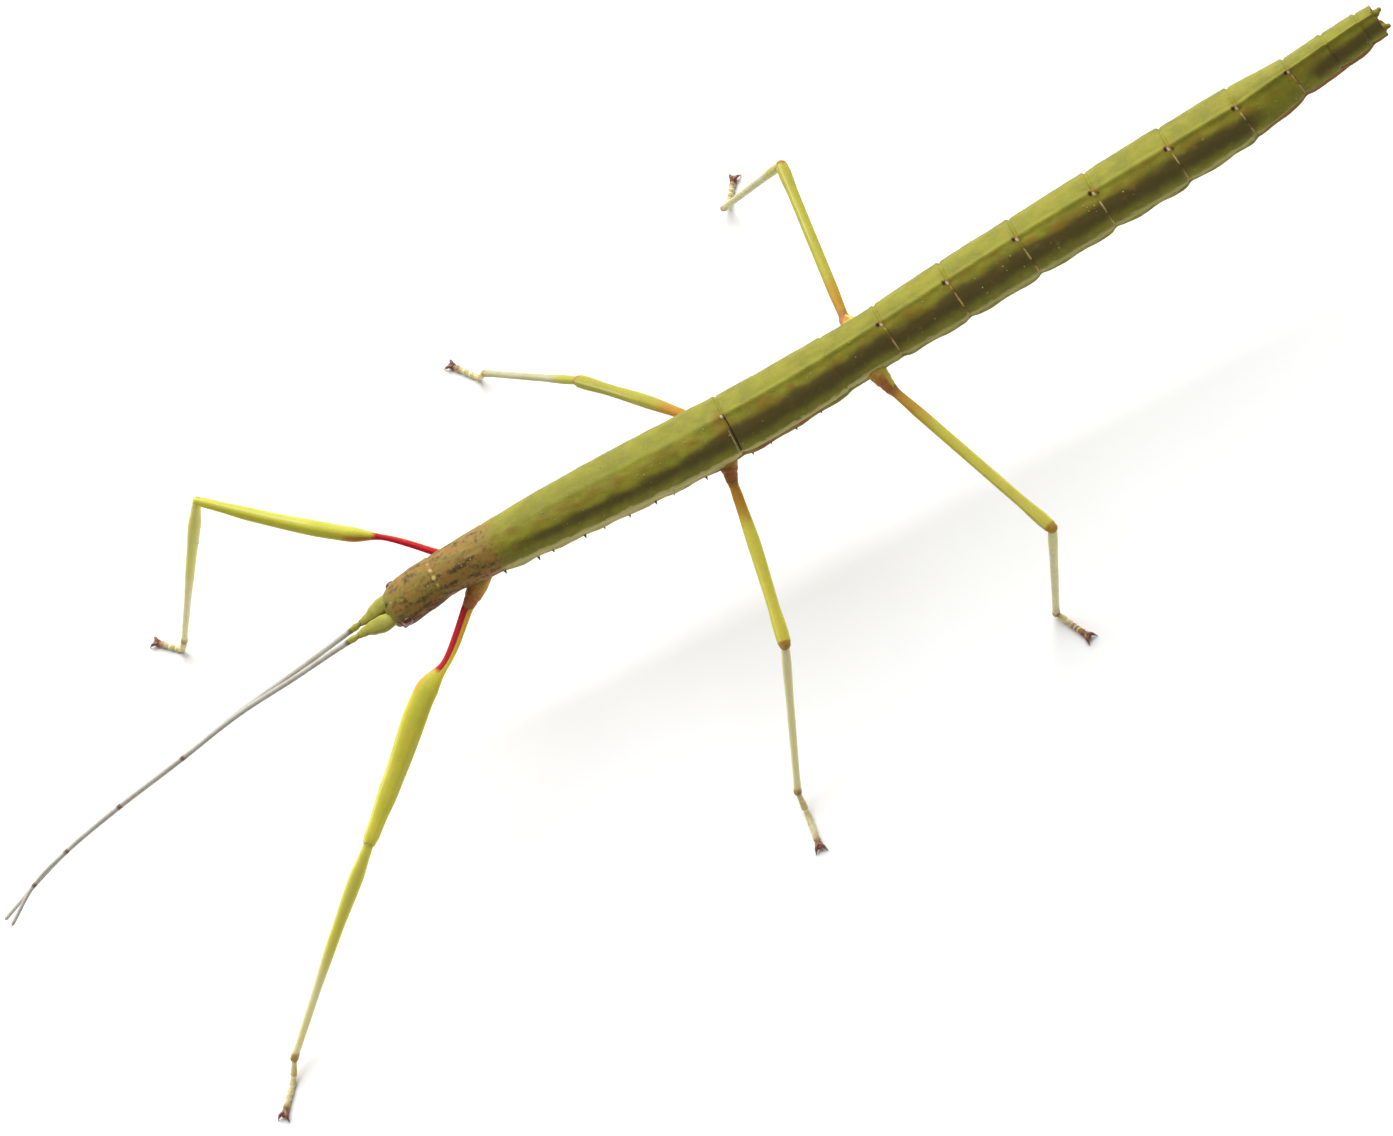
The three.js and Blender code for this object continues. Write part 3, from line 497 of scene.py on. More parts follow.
legPoses = {  # side, swing, femur heading, femur slope, tibia heading, ankle height, foot heading, roll
    "front_left": (-1, 0, 50.7, -9.0, 60.5, 1.1, 38.3, 0),
    "front_right": (1, 0, 51.6, 14.7, 93.7, 2.44, 44, 40),
    "middle_left": (-1, 0, 9.5, -9.9, 40.1, 1.25, 5.9, 0),
    "middle_right": (1, 0.5, 32.6, -22.6, 37.2, 2.04, 34.7, 0),
    "hind_left": (-1, 0.3, -19.5, -5.4, 102.7, 0.44, -24.7, 0),
    "hind_right": (1, 0.85, -4.1, -11.3, 44.1, 1.0, -35.4, 0),
}
paintedLightTones = {  # painted light: how much paler thigh and shin are painted than their base colours, for legs in the lamp's shade
    "front_left": (0.36, 1.0), "front_right": (0.0, 0.8), "middle_left": (0.55, 1.0),
    "middle_right": (0.0, 0.0), "hind_left": (0.36, 0.7), "hind_right": (0.24, 0.5),
}
coxaWidths = [(0, 0.66), (0.35, 0.7), (0.7, 0.6), (0.86, 0.5), (1, 0.44)]
foot = {"sole": 0.24, "halfWidth": 0.24, "rings": [0, 0.36, 0.55, 0.7, 0.82, 1], "claw": 0.75,
        "clawSpread": 35, "clawTip": 0.06, "clawWidths": [(0, 0.17), (0.5, 0.12), (1, 0.035)],
        "padWidths": [(0, 0.2), (0.5, 0.28), (1, 0.2)]}


def headingWay(side, heading, slope):
    turn, rise = math.radians(heading), math.radians(slope)
    level = math.cos(rise)
    return np.array([-math.sin(turn) * level, side * math.cos(turn) * level, math.sin(rise)])


def legJoints(name):
    pair = legPairs[name.split("_")[0]]
    side, swing, femur, slope, tibia, ankleHeight, footHeading, roll = legPoses[name]
    at, _, _, up = spineSpot(pair["station"])
    hip = at + rightWay * side * pair["out"] - up * pair["below"]
    hip[0] -= swing
    root = hip + unit(np.array([pair["ahead"] + swing, -side * 1.2, 0.7])) * (pair["coxa"] + 0.3)
    femurWay = headingWay(side, femur, slope)
    knee = hip + femurWay * pair["femur"]
    tibiaWay = headingWay(side, tibia, -math.degrees(math.asin((knee[2] - ankleHeight) / pair["tibia"])))
    ankle = knee + tibiaWay * pair["tibia"]
    footWay = headingWay(side, footHeading, 0)
    toe = ankle + footWay * math.sqrt(pair["tarsus"] ** 2 - (ankleHeight - foot["sole"]) ** 2)
    toe[2] = foot["sole"]
    spread = Vector(unit(np.cross(femurWay, tibiaWay)))
    spread.rotate(Matrix.Rotation(math.radians(roll), 3, Vector(femurWay)))
    forward = unit(np.cross(upWay, femurWay)) * side
    return pair, root, hip, knee, ankle, toe, femurWay, footWay, np.array(spread), forward


def limbSkin(points, widths, spread=rightWay, forward=rightWay, flat=1.0, spans=60, sides=24, keel=0.0,
             shape=None):
    path = smoothPath(points)
    length = path[1][-1]
    share = np.linspace(0, 1, spans)
    half = alongPairs(widths, share)
    rise, fall = np.sin(np.linspace(0.15, 1.45, 7)), np.sin(np.linspace(1.45, 0.15, 7))  # rounded ends
    past = np.concatenate([-fall * half[0] * flat, np.zeros(spans), rise * half[-1] * flat])
    half = np.concatenate([np.sqrt(1 - fall**2) * half[0], half, np.sqrt(1 - rise**2) * half[-1]])
    share = np.concatenate([np.zeros(7), share, np.ones(7)])
    at, ahead = onPath(path, share * length)
    at = at + ahead * past[:, None]
    depthWay = unit(np.cross(ahead, spread))
    widthWay = np.cross(depthWay, ahead)
    angle = (np.arange(sides) + 0.5) / sides * 2 * math.pi
    corner = 1 + keel * (np.cos(4 * (angle - math.pi / 4)) ** 3)
    swell = np.ones((len(share), sides)) if shape is None else shape(share[:, None], angle[None, :])
    c, q = np.cos(angle) * corner * swell, np.sin(angle) * corner * swell
    rings = (at[:, None] + widthWay[:, None] * (c * half[:, None])[..., None]
             + depthWay[:, None] * (q * half[:, None] * flat)[..., None])
    rings[..., 2] = np.maximum(rings[..., 2], 0.0)
    outward = unit(rings - at[:, None] + 1e-9)
    marks = {"run": np.repeat(share[:, None], sides, 1), "inner": outward @ forward,
             "edge": np.repeat(np.cos(4 * (angle - math.pi / 4))[None, :], len(share), 0)}
    return loft(rings, marks)


def runInnerEdge(part):  # share of the way run, how far a point faces forward, 1 on the four keels
    return (part[2][key] for key in ("run", "inner", "edge"))


# Thin-walled limb skin, yellow-green in the core; its keels are painted pale for the light that shines
# through them, which is painted glow.
# Front thighs are the brightest, with crimson on the inner side of their narrow base, and painted paler where
# they stand in the lamp's shade, which is painted light.
frontFemurFinish = finishOf(
    "satinCuticleFrontThigh", ("bdb63c", "b3b23a", 1.6), 0.55,
    [("keelPale", "c4c57c", 0.5, 1.3, 0.4, 0.3), ("amber", "b9803a", 0.3, 0.9, 0.5, 0.3),
     ("bright", "dfd74e", 0.0, 1.0, 0.5, 0.2), ("crimson", "b01422", 0.3, 0.7, 0.25, 0.2)],
    ("c8c880", 0.14, 0.3), (0.02, 0.1), gloss=0.2, glow=1.0)
# The other thighs are duller, amber towards the hip, with a rust-brown knee, and painted paler where they
# stand in the lamp's shade, which is painted light.
femurFinish = finishOf(
    "satinCuticleThigh", ("9d9629", "97922f", 1.5), 0.55,
    [("keelPale", "adad6c", 0.45, 1.2, 0.4, 0.3), ("bright", "d3ca50", 0.0, 1.0, 0.5, 0.2),
     ("amber", "a87a18", 0.25, 0.95, 0.6, 0.35), ("rust", "9a6a30", 0.35, 0.85, 0.3, 0.3)],
    ("c0bf74", 0.14, 0.3), (0.02, 0.1), gloss=0.2, glow=1.0)
# Shins are greyish cream and look dry, green near the knee; those in the lamp's shade are painted paler, the
# front ones greener, which is painted light.
tibiaFinish = finishOf(
    "satinCuticleShin", ("a6a383", "a09d78", 1.3), 0.55,
    [("green", "9f9d3a", 0.3, 1.0, 0.8, 0.4), ("bright", "d6d2aa", 0.3, 1.0, 0.5, 0.3),
     ("brightGreen", "cdca55", 0.3, 1.0, 0.5, 0.3), ("rust", "a3834c", 0.35, 0.85, 0.25, 0.3),
     ("dark", "2f2418", 0.3, 0.7, 0.1, 0.15)],
    ("c2c1a0", 0.12, 0.3), (0.02, 0.09), gloss=0.2, glow=1.0)
# Feet are cream, paler still at their joints and brown at the tip.
footFinish = finishOf(
    "satinCuticleFoot", ("cdc198", "baad80", 0.5), 0.55,
    [("brown", "8d6a4c", 0.3, 1.0, 0.3, 0.3), ("joint", "ddd2b4", 0.3, 0.8, 0.1, 0.2)],
    ("d2c6a4", 0.08, 0.3), (0.02, 0.07), gloss=0.2, glow=0.8)
# Hips are orange-brown and blotched.
hipFinish = finishOf(
    "satinCuticleHip", ("cda640", "b89240", 0.8), 0.55,
    [("rust", "a86a38", 0.3, 0.9, 0.25, 0.9), ("grey", "9c8563", 0.3, 0.9, 0.3, 0.4),
     ("green", "bdb240", 0.3, 0.9, 0.4, 0.4)],
    ("d0b878", 0.12, 0.3), (0.02, 0.08), gloss=0.2, glow=0.8)
# Claws are smooth, hard and brown, with a clear highlight.
clawFinish = finishOf("glossyClaw", ("8a5a3c", "6e402c", 0.3), 0.35, [], ("9a6e50", 0.08, 0.3), (0.01, 0.06),
                      gloss=0.5)


def coxaShape(share, angle):
    return 1 - 0.06 * hump(share, 0.8, 0.05) + 0.03 * np.sin(3 * angle) * share


def tarsusShape(share, angle):  # five short rings, each wider at its far end, with a pinch between
    swell = np.ones(np.broadcast_shapes(share.shape, angle.shape))
    for low, high in zip(foot["rings"], foot["rings"][1:]):
        t = np.clip((share - low) / (high - low), 0, 1)
        ring = 0.78 + 0.32 * t**1.5 - 0.3 * hump(t, 1, 0.09) - 0.08 * hump(t, 0, 0.1)
        swell = np.where((share >= low) & (share <= high), ring, swell)
    return swell


def clawPart(toe, footWay, forward):  # a pad and two curved claws
    sideWay = np.cross(footWay, upWay)
    start = toe + footWay * 0.02
    tip = start + footWay * foot["claw"] * 0.6
    parts = [limbSkin([start, (start + tip) / 2 - upWay * 0.03, tip], foot["padWidths"], sideWay, forward,
                      flat=0.8, spans=16, sides=16)]
    for side in (-1, 1):
        away = Vector(footWay)
        away.rotate(Matrix.Rotation(math.radians(side * foot["clawSpread"]), 3, Vector(upWay)))
        away = np.array(away)
        base = start + footWay * 0.15
        crook = base + away * foot["claw"] * 0.5
        point = base + away * foot["claw"] * 0.98 + footWay * 0.03
        crook[2], point[2] = foot["sole"] + 0.12, foot["clawTip"]
        parts.append(limbSkin([base, crook, point], foot["clawWidths"], sideWay, forward, spans=18, sides=12))
    return gather(parts)[:2] + ({},)


for name in legPoses:
    pair, root, hip, knee, ankle, toe, femurWay, footWay, spread, forward = legJoints(name)
    isFront, isHind = name.startswith("front"), name.startswith("hind")
    paintedLightThigh, paintedLightShin = paintedLightTones[name]

    toHip = unit(hip - root)
    part = limbSkin([root - toHip * 0.2, root * 0.5 + hip * 0.5, hip], coxaWidths, femurWay, forward,
                    spans=40, shape=coxaShape)
    run, inner, edge = runInnerEdge(part)
    part[2]["rust"] = 0.4 + 0.5 * ramp(run, 0.3, 0.9)
    part[2]["grey"] = (0.1 if isHind else 0.85) * ramp(-run, -0.75, -0.45) * ramp(inner, -0.2, 0.5)
    part[2]["green"] = (0.9 if isHind else 0.3) * ramp(-inner, -0.2, 0.5)
    addPiece("coxaSkin_" + name, part, hipFinish, "hip", "coxa_" + name)

    bowed = [hip * (1 - t) + knee * t + forward * reach + upWay * rise for t, reach, rise in pair["bow"]]
    part = limbSkin([hip] + bowed + [knee], pair["femurWidths"], spread, forward, flat=pair["flat"],
                    spans=120, sides=32, keel=0.05)
    run, inner, edge = runInnerEdge(part)
    # painted light: thighs of legs in the lamp's shade are painted paler
    part[2]["bright"] = np.full_like(run, paintedLightThigh)
    # painted glow: keels are painted pale for the light that shines through them
    if isFront:
        redEdge = -0.85 if name == "front_left" else -0.95
        part[2]["keelPale"] = ramp(edge, 0.2, 1) * ramp(run, 0.4, 0.6)
        part[2]["crimson"] = ramp(inner, redEdge, redEdge + 0.45) * fade(run, 0.24, 0.34)
        part[2]["amber"] = (0.75 * fade(run, 0.1, 0.4)
                            + ramp(inner, 0.3, 0.7) * fade(run, 0.36, 0.46))
    else:
        part[2]["keelPale"] = ramp(edge, 0.1, 1) * ramp(run, 0.2, 0.6)
        part[2]["amber"] = fade(run, 0.06, 0.5) * (0.8 if isHind else 1.0)
        part[2]["rust"] = 0.9 * fade(run, 0.02, 0.1) + 0.7 * ramp(run, 0.965, 0.99)
    addPiece("femurSkin_" + name, part, frontFemurFinish if isFront else femurFinish,
             "front_femur" if isFront else "femur", "femur_" + name)

    shin = knee * 0.55 + ankle * 0.45 + forward * pair["shin"]
    part = limbSkin([knee, shin, ankle], pair["tibiaWidths"], spread, forward, flat=max(pair["flat"], 0.86),
                    spans=90, sides=24, keel=0.05)
    run, inner, edge = runInnerEdge(part)
    greenFade = {"front_left": (0.35, 1.0), "front_right": (0.35, 0.75)}.get(name, (0.1, 0.4))
    part[2]["green"] = fade(run, *greenFade)
    part[2]["rust"] = 0.75 * ramp(run, 0.93, 0.99) + 0.5 * fade(run, 0.0, 0.05)
    # painted light: shins of legs in the lamp's shade are painted paler, the front ones greener
    part[2]["bright"] = np.full_like(run, paintedLightShin)
    part[2]["brightGreen"] = (0.9 if isFront else 0.0) * paintedLightShin * fade(run, 0.4, 0.9)
    isSpotted = name == "front_right"  # one shin has a dark speck
    part[2]["dark"] = isSpotted * blot(run - 0.27, 0.012, inner - 0.1, 0.4)
    addPiece("tibiaSkin_" + name, part, tibiaFinish, "tibia", "tibia_" + name)

    instep = ankle * 0.58 + toe * 0.42
    instep[2] = foot["sole"]
    part = limbSkin([ankle, instep, (instep + toe) / 2, toe],
                    [(0, 0.23), (0.2, foot["halfWidth"]), (1, foot["halfWidth"])],
                    np.cross(footWay, upWay), forward, spans=100, sides=20, shape=tarsusShape)
    run, inner, edge = runInnerEdge(part)
    part[2]["joint"] = np.max([hump(run, k, 0.022) for k in foot["rings"][1:-1]], axis=0)
    part[2]["brown"] = ramp(run, 0.1, 0.8) if name == "hind_left" else 0.8 * ramp(run, 0.75, 1.0)
    addPiece("tarsusSkin_" + name, part, footFinish, "foot", "tarsus_" + name)

    addPiece("clawPair_" + name, clawPart(toe, footWay, forward), clawFinish, "claw", "claws_" + name)
print("legs:", len(legPoses))


face = {  # stations in mm, places in mm from the spine: back, out, up
    "eyeStation": 1.0, "eye": (0.42, 0.32, 0.36), "eyeRise": 0.08, "eyeOut": 0.87,
    "mouthStation": 0.6, "mouthTop": -0.9, "mouthBottom": -2.3, "mouthForward": 0.7, "mouthBow": 0.06,
    "mouthWidths": [(0, 0.85), (0.5, 0.82), (1, 0.46)],
    "palpStation": 1.3, "palp": [(0, 0.65, -1.0), (-0.5, 0.78, -1.75), (-0.8, 0.62, -2.3)],
    "palpWidths": [(0, 0.2), (0.4, 0.24), (1, 0.17)],
}
# Eyes are smooth, round and dark red-brown with a paler band, and shine.
eyeFinish = finishOf("glossyEye", ("6e3522", "4a2016", 0.18), 0.2, [("band", "a8834e", 0.5, 1.0, 0.2, 0.3)],
                     ("8d5a3c", 0.05, 0.4), (0.012, 0.04), gloss=0.5, coat=0.2)
# Mouthparts are olive-brown, darker towards their tips.
mouthFinish = finishOf("satinCuticleMouth", ("7c6a35", "6b4f2c", 0.5), 0.5,
                       [("rust", "5f3a22", 0.3, 0.9, 0.3, 0.3)], ("a89a5c", 0.1, 0.3), (0.02, 0.07))


def palpShape(share, angle):
    return 1 - 0.25 * hump(share, 0.35, 0.04) - 0.25 * hump(share, 0.68, 0.04)


def mouthShape(share, angle):
    return (1 - 0.09 * hump(share, 0.45, 0.03) - 0.07 * hump(share, 0.75, 0.03)
            - 0.12 * hump(np.cos(angle), 0, 0.1) * ramp(share, 0.7, 1))


eyeAt, _, _, eyeUp = spineSpot(face["eyeStation"])
for side, hand in ((-1, "left"), (1, "right")):
    u, v = np.meshgrid(np.linspace(0.06, math.pi - 0.06, 22), np.arange(36) / 36 * 2 * math.pi, indexing="ij")
    ball = np.stack([np.sin(u) * np.cos(v), np.cos(u), np.sin(u) * np.sin(v)], -1) * face["eye"]
    out = side * trunk["headWidth"] / 2 * face["eyeOut"]
    centre = eyeAt + np.array([0, out, -trunk["headDroop"] * 0.5 + eyeUp[2] * face["eyeRise"]])
    part = loft(ball + centre, {"band": hump(np.sin(u) * np.sin(v), 0.35, 0.2)})
    addPiece("eyeBall_" + hand, part, eyeFinish, "eye", "eye_" + hand)

    at, _, _, _ = spineSpot(face["palpStation"])
    points = [at + np.array([back, side * out, up]) for back, out, up in face["palp"]]
    part = limbSkin(points, face["palpWidths"], spans=50, sides=16, shape=palpShape)
    part[2]["rust"] = ramp(part[2]["run"], 0.5, 1)
    addPiece("palpSkin_" + hand, part, mouthFinish, "mouth", "palp_" + hand)
at, _, _, up = spineSpot(face["mouthStation"])
mouthTop = at + up * face["mouthTop"]
mouthBottom = at + up * face["mouthBottom"] - np.array([face["mouthForward"], 0, 0])
mouthMiddle = (mouthTop + mouthBottom) / 2 - np.array([face["mouthBow"], 0, 0])
part = limbSkin([mouthTop, mouthMiddle, mouthBottom], face["mouthWidths"], flat=0.75,
                spans=60, sides=48, shape=mouthShape)
part[2]["rust"] = ramp(part[2]["run"], 0.4, 1)
addPiece("mouthSkin", part, mouthFinish, "mouth", "mouthparts")
print("head pieces: eyes, palps, mouth")


tail = {  # the plate under the tail, and the two short tail feelers
    "plateSpots": np.array([0, 0.35, 0.7, 1]), "plateLength": 7.2, "plateDrop": 1.5, "plateRise": 0.4,
    "plateWidths": [(0, 0.8), (0.3, 1.0), (0.7, 0.9), (1, 0.5)],
    "cercusOut": 0.62, "cercusDrop": 0.25, "cercusRoot": 0.5, "cercusTip": 0.35, "cercusSplay": 0.1,
    "cercusWidths": [(0, 0.28), (0.6, 0.29), (1, 0.17)],
}
at, _, _, up = spineAt(seams[-4] + tail["plateSpots"] * tail["plateLength"])
lift = -tail["plateDrop"] + tail["plateSpots"] ** 2 * tail["plateRise"]
part = limbSkin(at + up * lift[:, None], tail["plateWidths"], flat=0.42, spans=70, sides=40, keel=0.02)
run, inner, edge = runInnerEdge(part)
part[2]["rust"] = 0.5 + 0.5 * ramp(np.abs(inner), 0.7, 1)
part[2]["amber"] = np.full_like(run, 0.4)
addPiece("operculumSkin", part, bodyFinish, "back", "operculum")
for side, hand in ((-1, "left"), (1, "right")):
    at, ahead, _, up = spineSpot(spineLength)
    middle = at + rightWay * side * tail["cercusOut"] - up * tail["cercusDrop"]
    tip = middle + ahead * tail["cercusTip"] + rightWay * side * tail["cercusSplay"]
    root = middle - ahead * tail["cercusRoot"]
    part = limbSkin([root, middle, tip], tail["cercusWidths"], spans=30, sides=20)
    part[2]["rust"] = 0.6 * ramp(part[2]["run"], 0.3, 1)
    part[2]["amber"] = np.full_like(part[2]["run"], 0.5)
    addPiece("cercusSkin_" + hand, part, bodyFinish, "back", "cercus_" + hand)
print("tail pieces: plate and two cerci")


def startTree(name, sizes):  # an empty tree with its named inputs
    tree = bpy.data.node_groups.new(name, "GeometryNodeTree")
    tree.interface.new_socket("Geometry", in_out="INPUT", socket_type="NodeSocketGeometry")
    for label, value in sizes.items():
        kind = "NodeSocketInt" if label == "Seed" else "NodeSocketFloat"
        tree.interface.new_socket(label, in_out="INPUT", socket_type=kind).default_value = value
    tree.interface.new_socket("Geometry", in_out="OUTPUT", socket_type="NodeSocketGeometry")
    add = partial(addNode, tree)
    return add, add("NodeGroupInput").outputs


def closeTree(add, shapes, finish):  # real mesh, smooth, with its finish
    real = add("GeometryNodeRealizeInstances", {}, {0: shapes})
    smooth = add("GeometryNodeSetShadeSmooth", {}, {0: real})
    done = add("GeometryNodeSetMaterial", {"Material": finish}, {0: smooth})
    return add("NodeGroupOutput", {}, {0: done}).id_data  # the tree


def ringedThreadTree(sizes, finish):  # a thread along an edge line, with a swollen ring at every step
    add, inputs = startTree("ringedThread", sizes)
    path = add("GeometryNodeMeshToCurve", {}, {0: inputs["Geometry"]})
    thick = add("GeometryNodeInputNamedAttribute", {"data_type": "FLOAT", "Name": "thick"})
    sized = add("GeometryNodeSetCurveRadius", {}, {"Curve": path, "Radius": thick})
    outline = add("GeometryNodeCurvePrimitiveCircle", {"Resolution": 14, "Radius": 1.0})
    thread = add("GeometryNodeCurveToMesh", {"Fill Caps": True},
                 {"Curve": sized, "Profile Curve": outline, "Scale": thick})
    steps = add("GeometryNodeCurveToPoints", {"mode": "LENGTH"},
                {"Curve": sized, "Length": inputs["Ring spacing"]}).outputs
    ring = add("GeometryNodeMeshCylinder", {"Vertices": 14, "Side Segments": 4, "Radius": 1.0},
               {"Depth": inputs["Ring width"]})
    # the ring bellies out in the middle
    spot = add("GeometryNodeInputPosition")
    parts = add("ShaderNodeSeparateXYZ", {}, {0: spot}).outputs
    level = add("ShaderNodeMath", {"operation": "DIVIDE"}, {0: parts[2], 1: inputs["Ring width"]})
    fall = add("ShaderNodeMath", {"operation": "MULTIPLY"}, {0: level, 1: level})
    belly = add("ShaderNodeMath", {"operation": "MULTIPLY_ADD", 1: -0.9, 2: 1.0}, {0: fall})
    scaled = add("ShaderNodeCombineXYZ", {2: 1.0}, {0: belly, 1: belly})
    rounded = add("ShaderNodeVectorMath", {"operation": "MULTIPLY"}, {0: spot, 1: scaled})
    barrel = add("GeometryNodeSetPosition", {}, {"Geometry": ring, "Position": rounded})
    swollen = add("ShaderNodeMath", {"operation": "MULTIPLY"}, {0: thick, 1: inputs["Ring swell"]})
    size = add("ShaderNodeCombineXYZ", {2: 1.0}, {0: swollen, 1: swollen})
    rings = add("GeometryNodeInstanceOnPoints", {},
                {"Points": steps["Points"], "Instance": barrel, "Rotation": steps["Rotation"],
                 "Scale": size})
    both = add("GeometryNodeJoinGeometry")
    for piece in (thread, rings):
        both.id_data.links.new(piece.outputs[0], both.inputs[0])
    return closeTree(add, both, finish)


def standingTree(sizes, finish, sides):  # a small cone on every point, standing along its lean
    add, inputs = startTree("standingCones", sizes)
    lean = add("GeometryNodeInputNamedAttribute", {"data_type": "FLOAT_VECTOR", "Name": "lean"})
    turn = add("FunctionNodeAlignRotationToVector", {"axis": "Z"}, {"Vector": lean})
    cone = add("GeometryNodeMeshCone", {"Vertices": sides, "Side Segments": 2, "Radius Top": 0.15,
                                        "Radius Bottom": 1.0, "Depth": 1.0})
    low = add("ShaderNodeMath", {"operation": "SUBTRACT", 0: 1.0}, {1: inputs["Unevenness"]})
    high = add("ShaderNodeMath", {"operation": "ADD", 0: 1.0}, {1: inputs["Unevenness"]})
    chance = add("FunctionNodeRandomValue", {"data_type": "FLOAT"},
                 {2: low, 3: high, "Seed": inputs["Seed"]}).outputs[1]
    tall = add("ShaderNodeMath", {"operation": "MULTIPLY"}, {0: chance, 1: inputs["Length"]})
    size = add("ShaderNodeCombineXYZ", {}, {0: inputs["Width"], 1: inputs["Width"], 2: tall})
    cones = add("GeometryNodeInstanceOnPoints", {},
                {"Points": inputs["Geometry"], "Instance": cone, "Rotation": turn, "Scale": size})
    return closeTree(add, cones, finish)


def grainTree(sizes, finish):  # low domes scattered over a skin where its grain mark is high
    add, inputs = startTree("scatteredGrains", sizes)
    mark = add("GeometryNodeInputNamedAttribute", {"data_type": "FLOAT", "Name": "grain"})
    rate = add("ShaderNodeMath", {"operation": "MULTIPLY", 1: 1e6}, {0: inputs["Grains per square mm"]})
    local = add("ShaderNodeMath", {"operation": "MULTIPLY"}, {0: rate, 1: mark})
    points = add("GeometryNodeDistributePointsOnFaces", {},
                 {"Mesh": inputs["Geometry"], "Density": local, "Seed": inputs["Seed"]}).outputs
    dome = add("GeometryNodeMeshIcoSphere", {"Radius": 1.0, "Subdivisions": 2})
    chance = add("FunctionNodeRandomValue", {"data_type": "FLOAT", 2: 0.5, 3: 1.4},
                 {"Seed": inputs["Seed"]}).outputs[1]
    wide = add("ShaderNodeMath", {"operation": "MULTIPLY"}, {0: chance, 1: inputs["Width"]})
    tall = add("ShaderNodeMath", {"operation": "MULTIPLY", 1: 0.7}, {0: wide})
    size = add("ShaderNodeCombineXYZ", {}, {0: wide, 1: wide, 2: tall})
    domes = add("GeometryNodeInstanceOnPoints", {},
                {"Points": points["Points"], "Instance": dome, "Rotation": points["Rotation"],
                 "Scale": size})
    return closeTree(add, domes, finish)


def grown(name, base, tree, settings):  # runs a tree on a base object and keeps the plain mesh
    modifier = base.modifiers.new("grow", "NODES")
    modifier.node_group = tree
    for item in tree.interface.items_tree:
        if item.in_out == "INPUT" and item.name in settings:
            modifier[item.identifier] = settings[item.name]
    bpy.context.view_layer.update()
    mesh = bpy.data.meshes.new_from_object(base.evaluated_get(bpy.context.evaluated_depsgraph_get()))
    base.modifiers.remove(modifier)
    return link(name, mesh)


feeler = {
    "right": [(-37.45, 1.1, 14.3), (-38.1, 1.02, 14.1), (-38.85, 0.93, 13.95), (-39.65, 0.8, 13.8),
              (-40.5, 0.66, 13.7), (-42.4, 0.45, 13.5), (-45.8, 0.15, 13.05), (-50.5, -0.1, 12.3),
              (-55.5, -0.75, 11.55), (-61.0, -1.35, 10.85), (-65.7, -2.05, 10.15), (-68.7, -2.9, 9.7),
              (-71.7, -4.05, 9.4)],
    "left": [(-37.9, -0.52, 14.2), (-38.6, -0.46, 14.05), (-39.3, -0.3, 13.9), (-40.05, -0.16, 13.8),
             (-40.85, -0.12, 13.75), (-42.65, -0.2, 13.65), (-46.0, -0.4, 13.35), (-50.6, -0.5, 12.8),
             (-55.45, -1.0, 12.05), (-61.0, -1.6, 11.35), (-65.65, -2.3, 10.65), (-68.7, -3.15, 10.2),
             (-71.4, -4.75, 9.5)],
    "root": 1.1, "scape": 1.9, "pedicel": 0.8, "scapeInward": 0.07,
    "scapeWidths": [(0, 0.5), (0.35, 0.64), (0.55, 0.56), (0.8, 0.36), (0.95, 0.27), (1, 0.2)],
    "pedicelWidths": [(0, 0.19), (0.5, 0.25), (1, 0.2)],
    "thick": [(0, 0.2), (0.15, 0.185), (0.6, 0.17), (1, 0.13)],
    "tip": 0.15,
    "stains": [18.4, 23.95, 28.75, 32.0], "stainLag": {"left": 0.6, "right": 0},
}
# Feeler threads are thin, dry and pale grey, with a brown stain at a few of their rings.
feelerFinish = finishOf("satinCuticleFeeler", ("c2beb4", "b4b0a4", 0.8), 0.5,
                        [("stain", "7a604a", 0.3, 0.9, 0.3, 0.3)], ("b5ab98", 0.1, 0.3), (0.01, 0.08),
                        gloss=0.2)
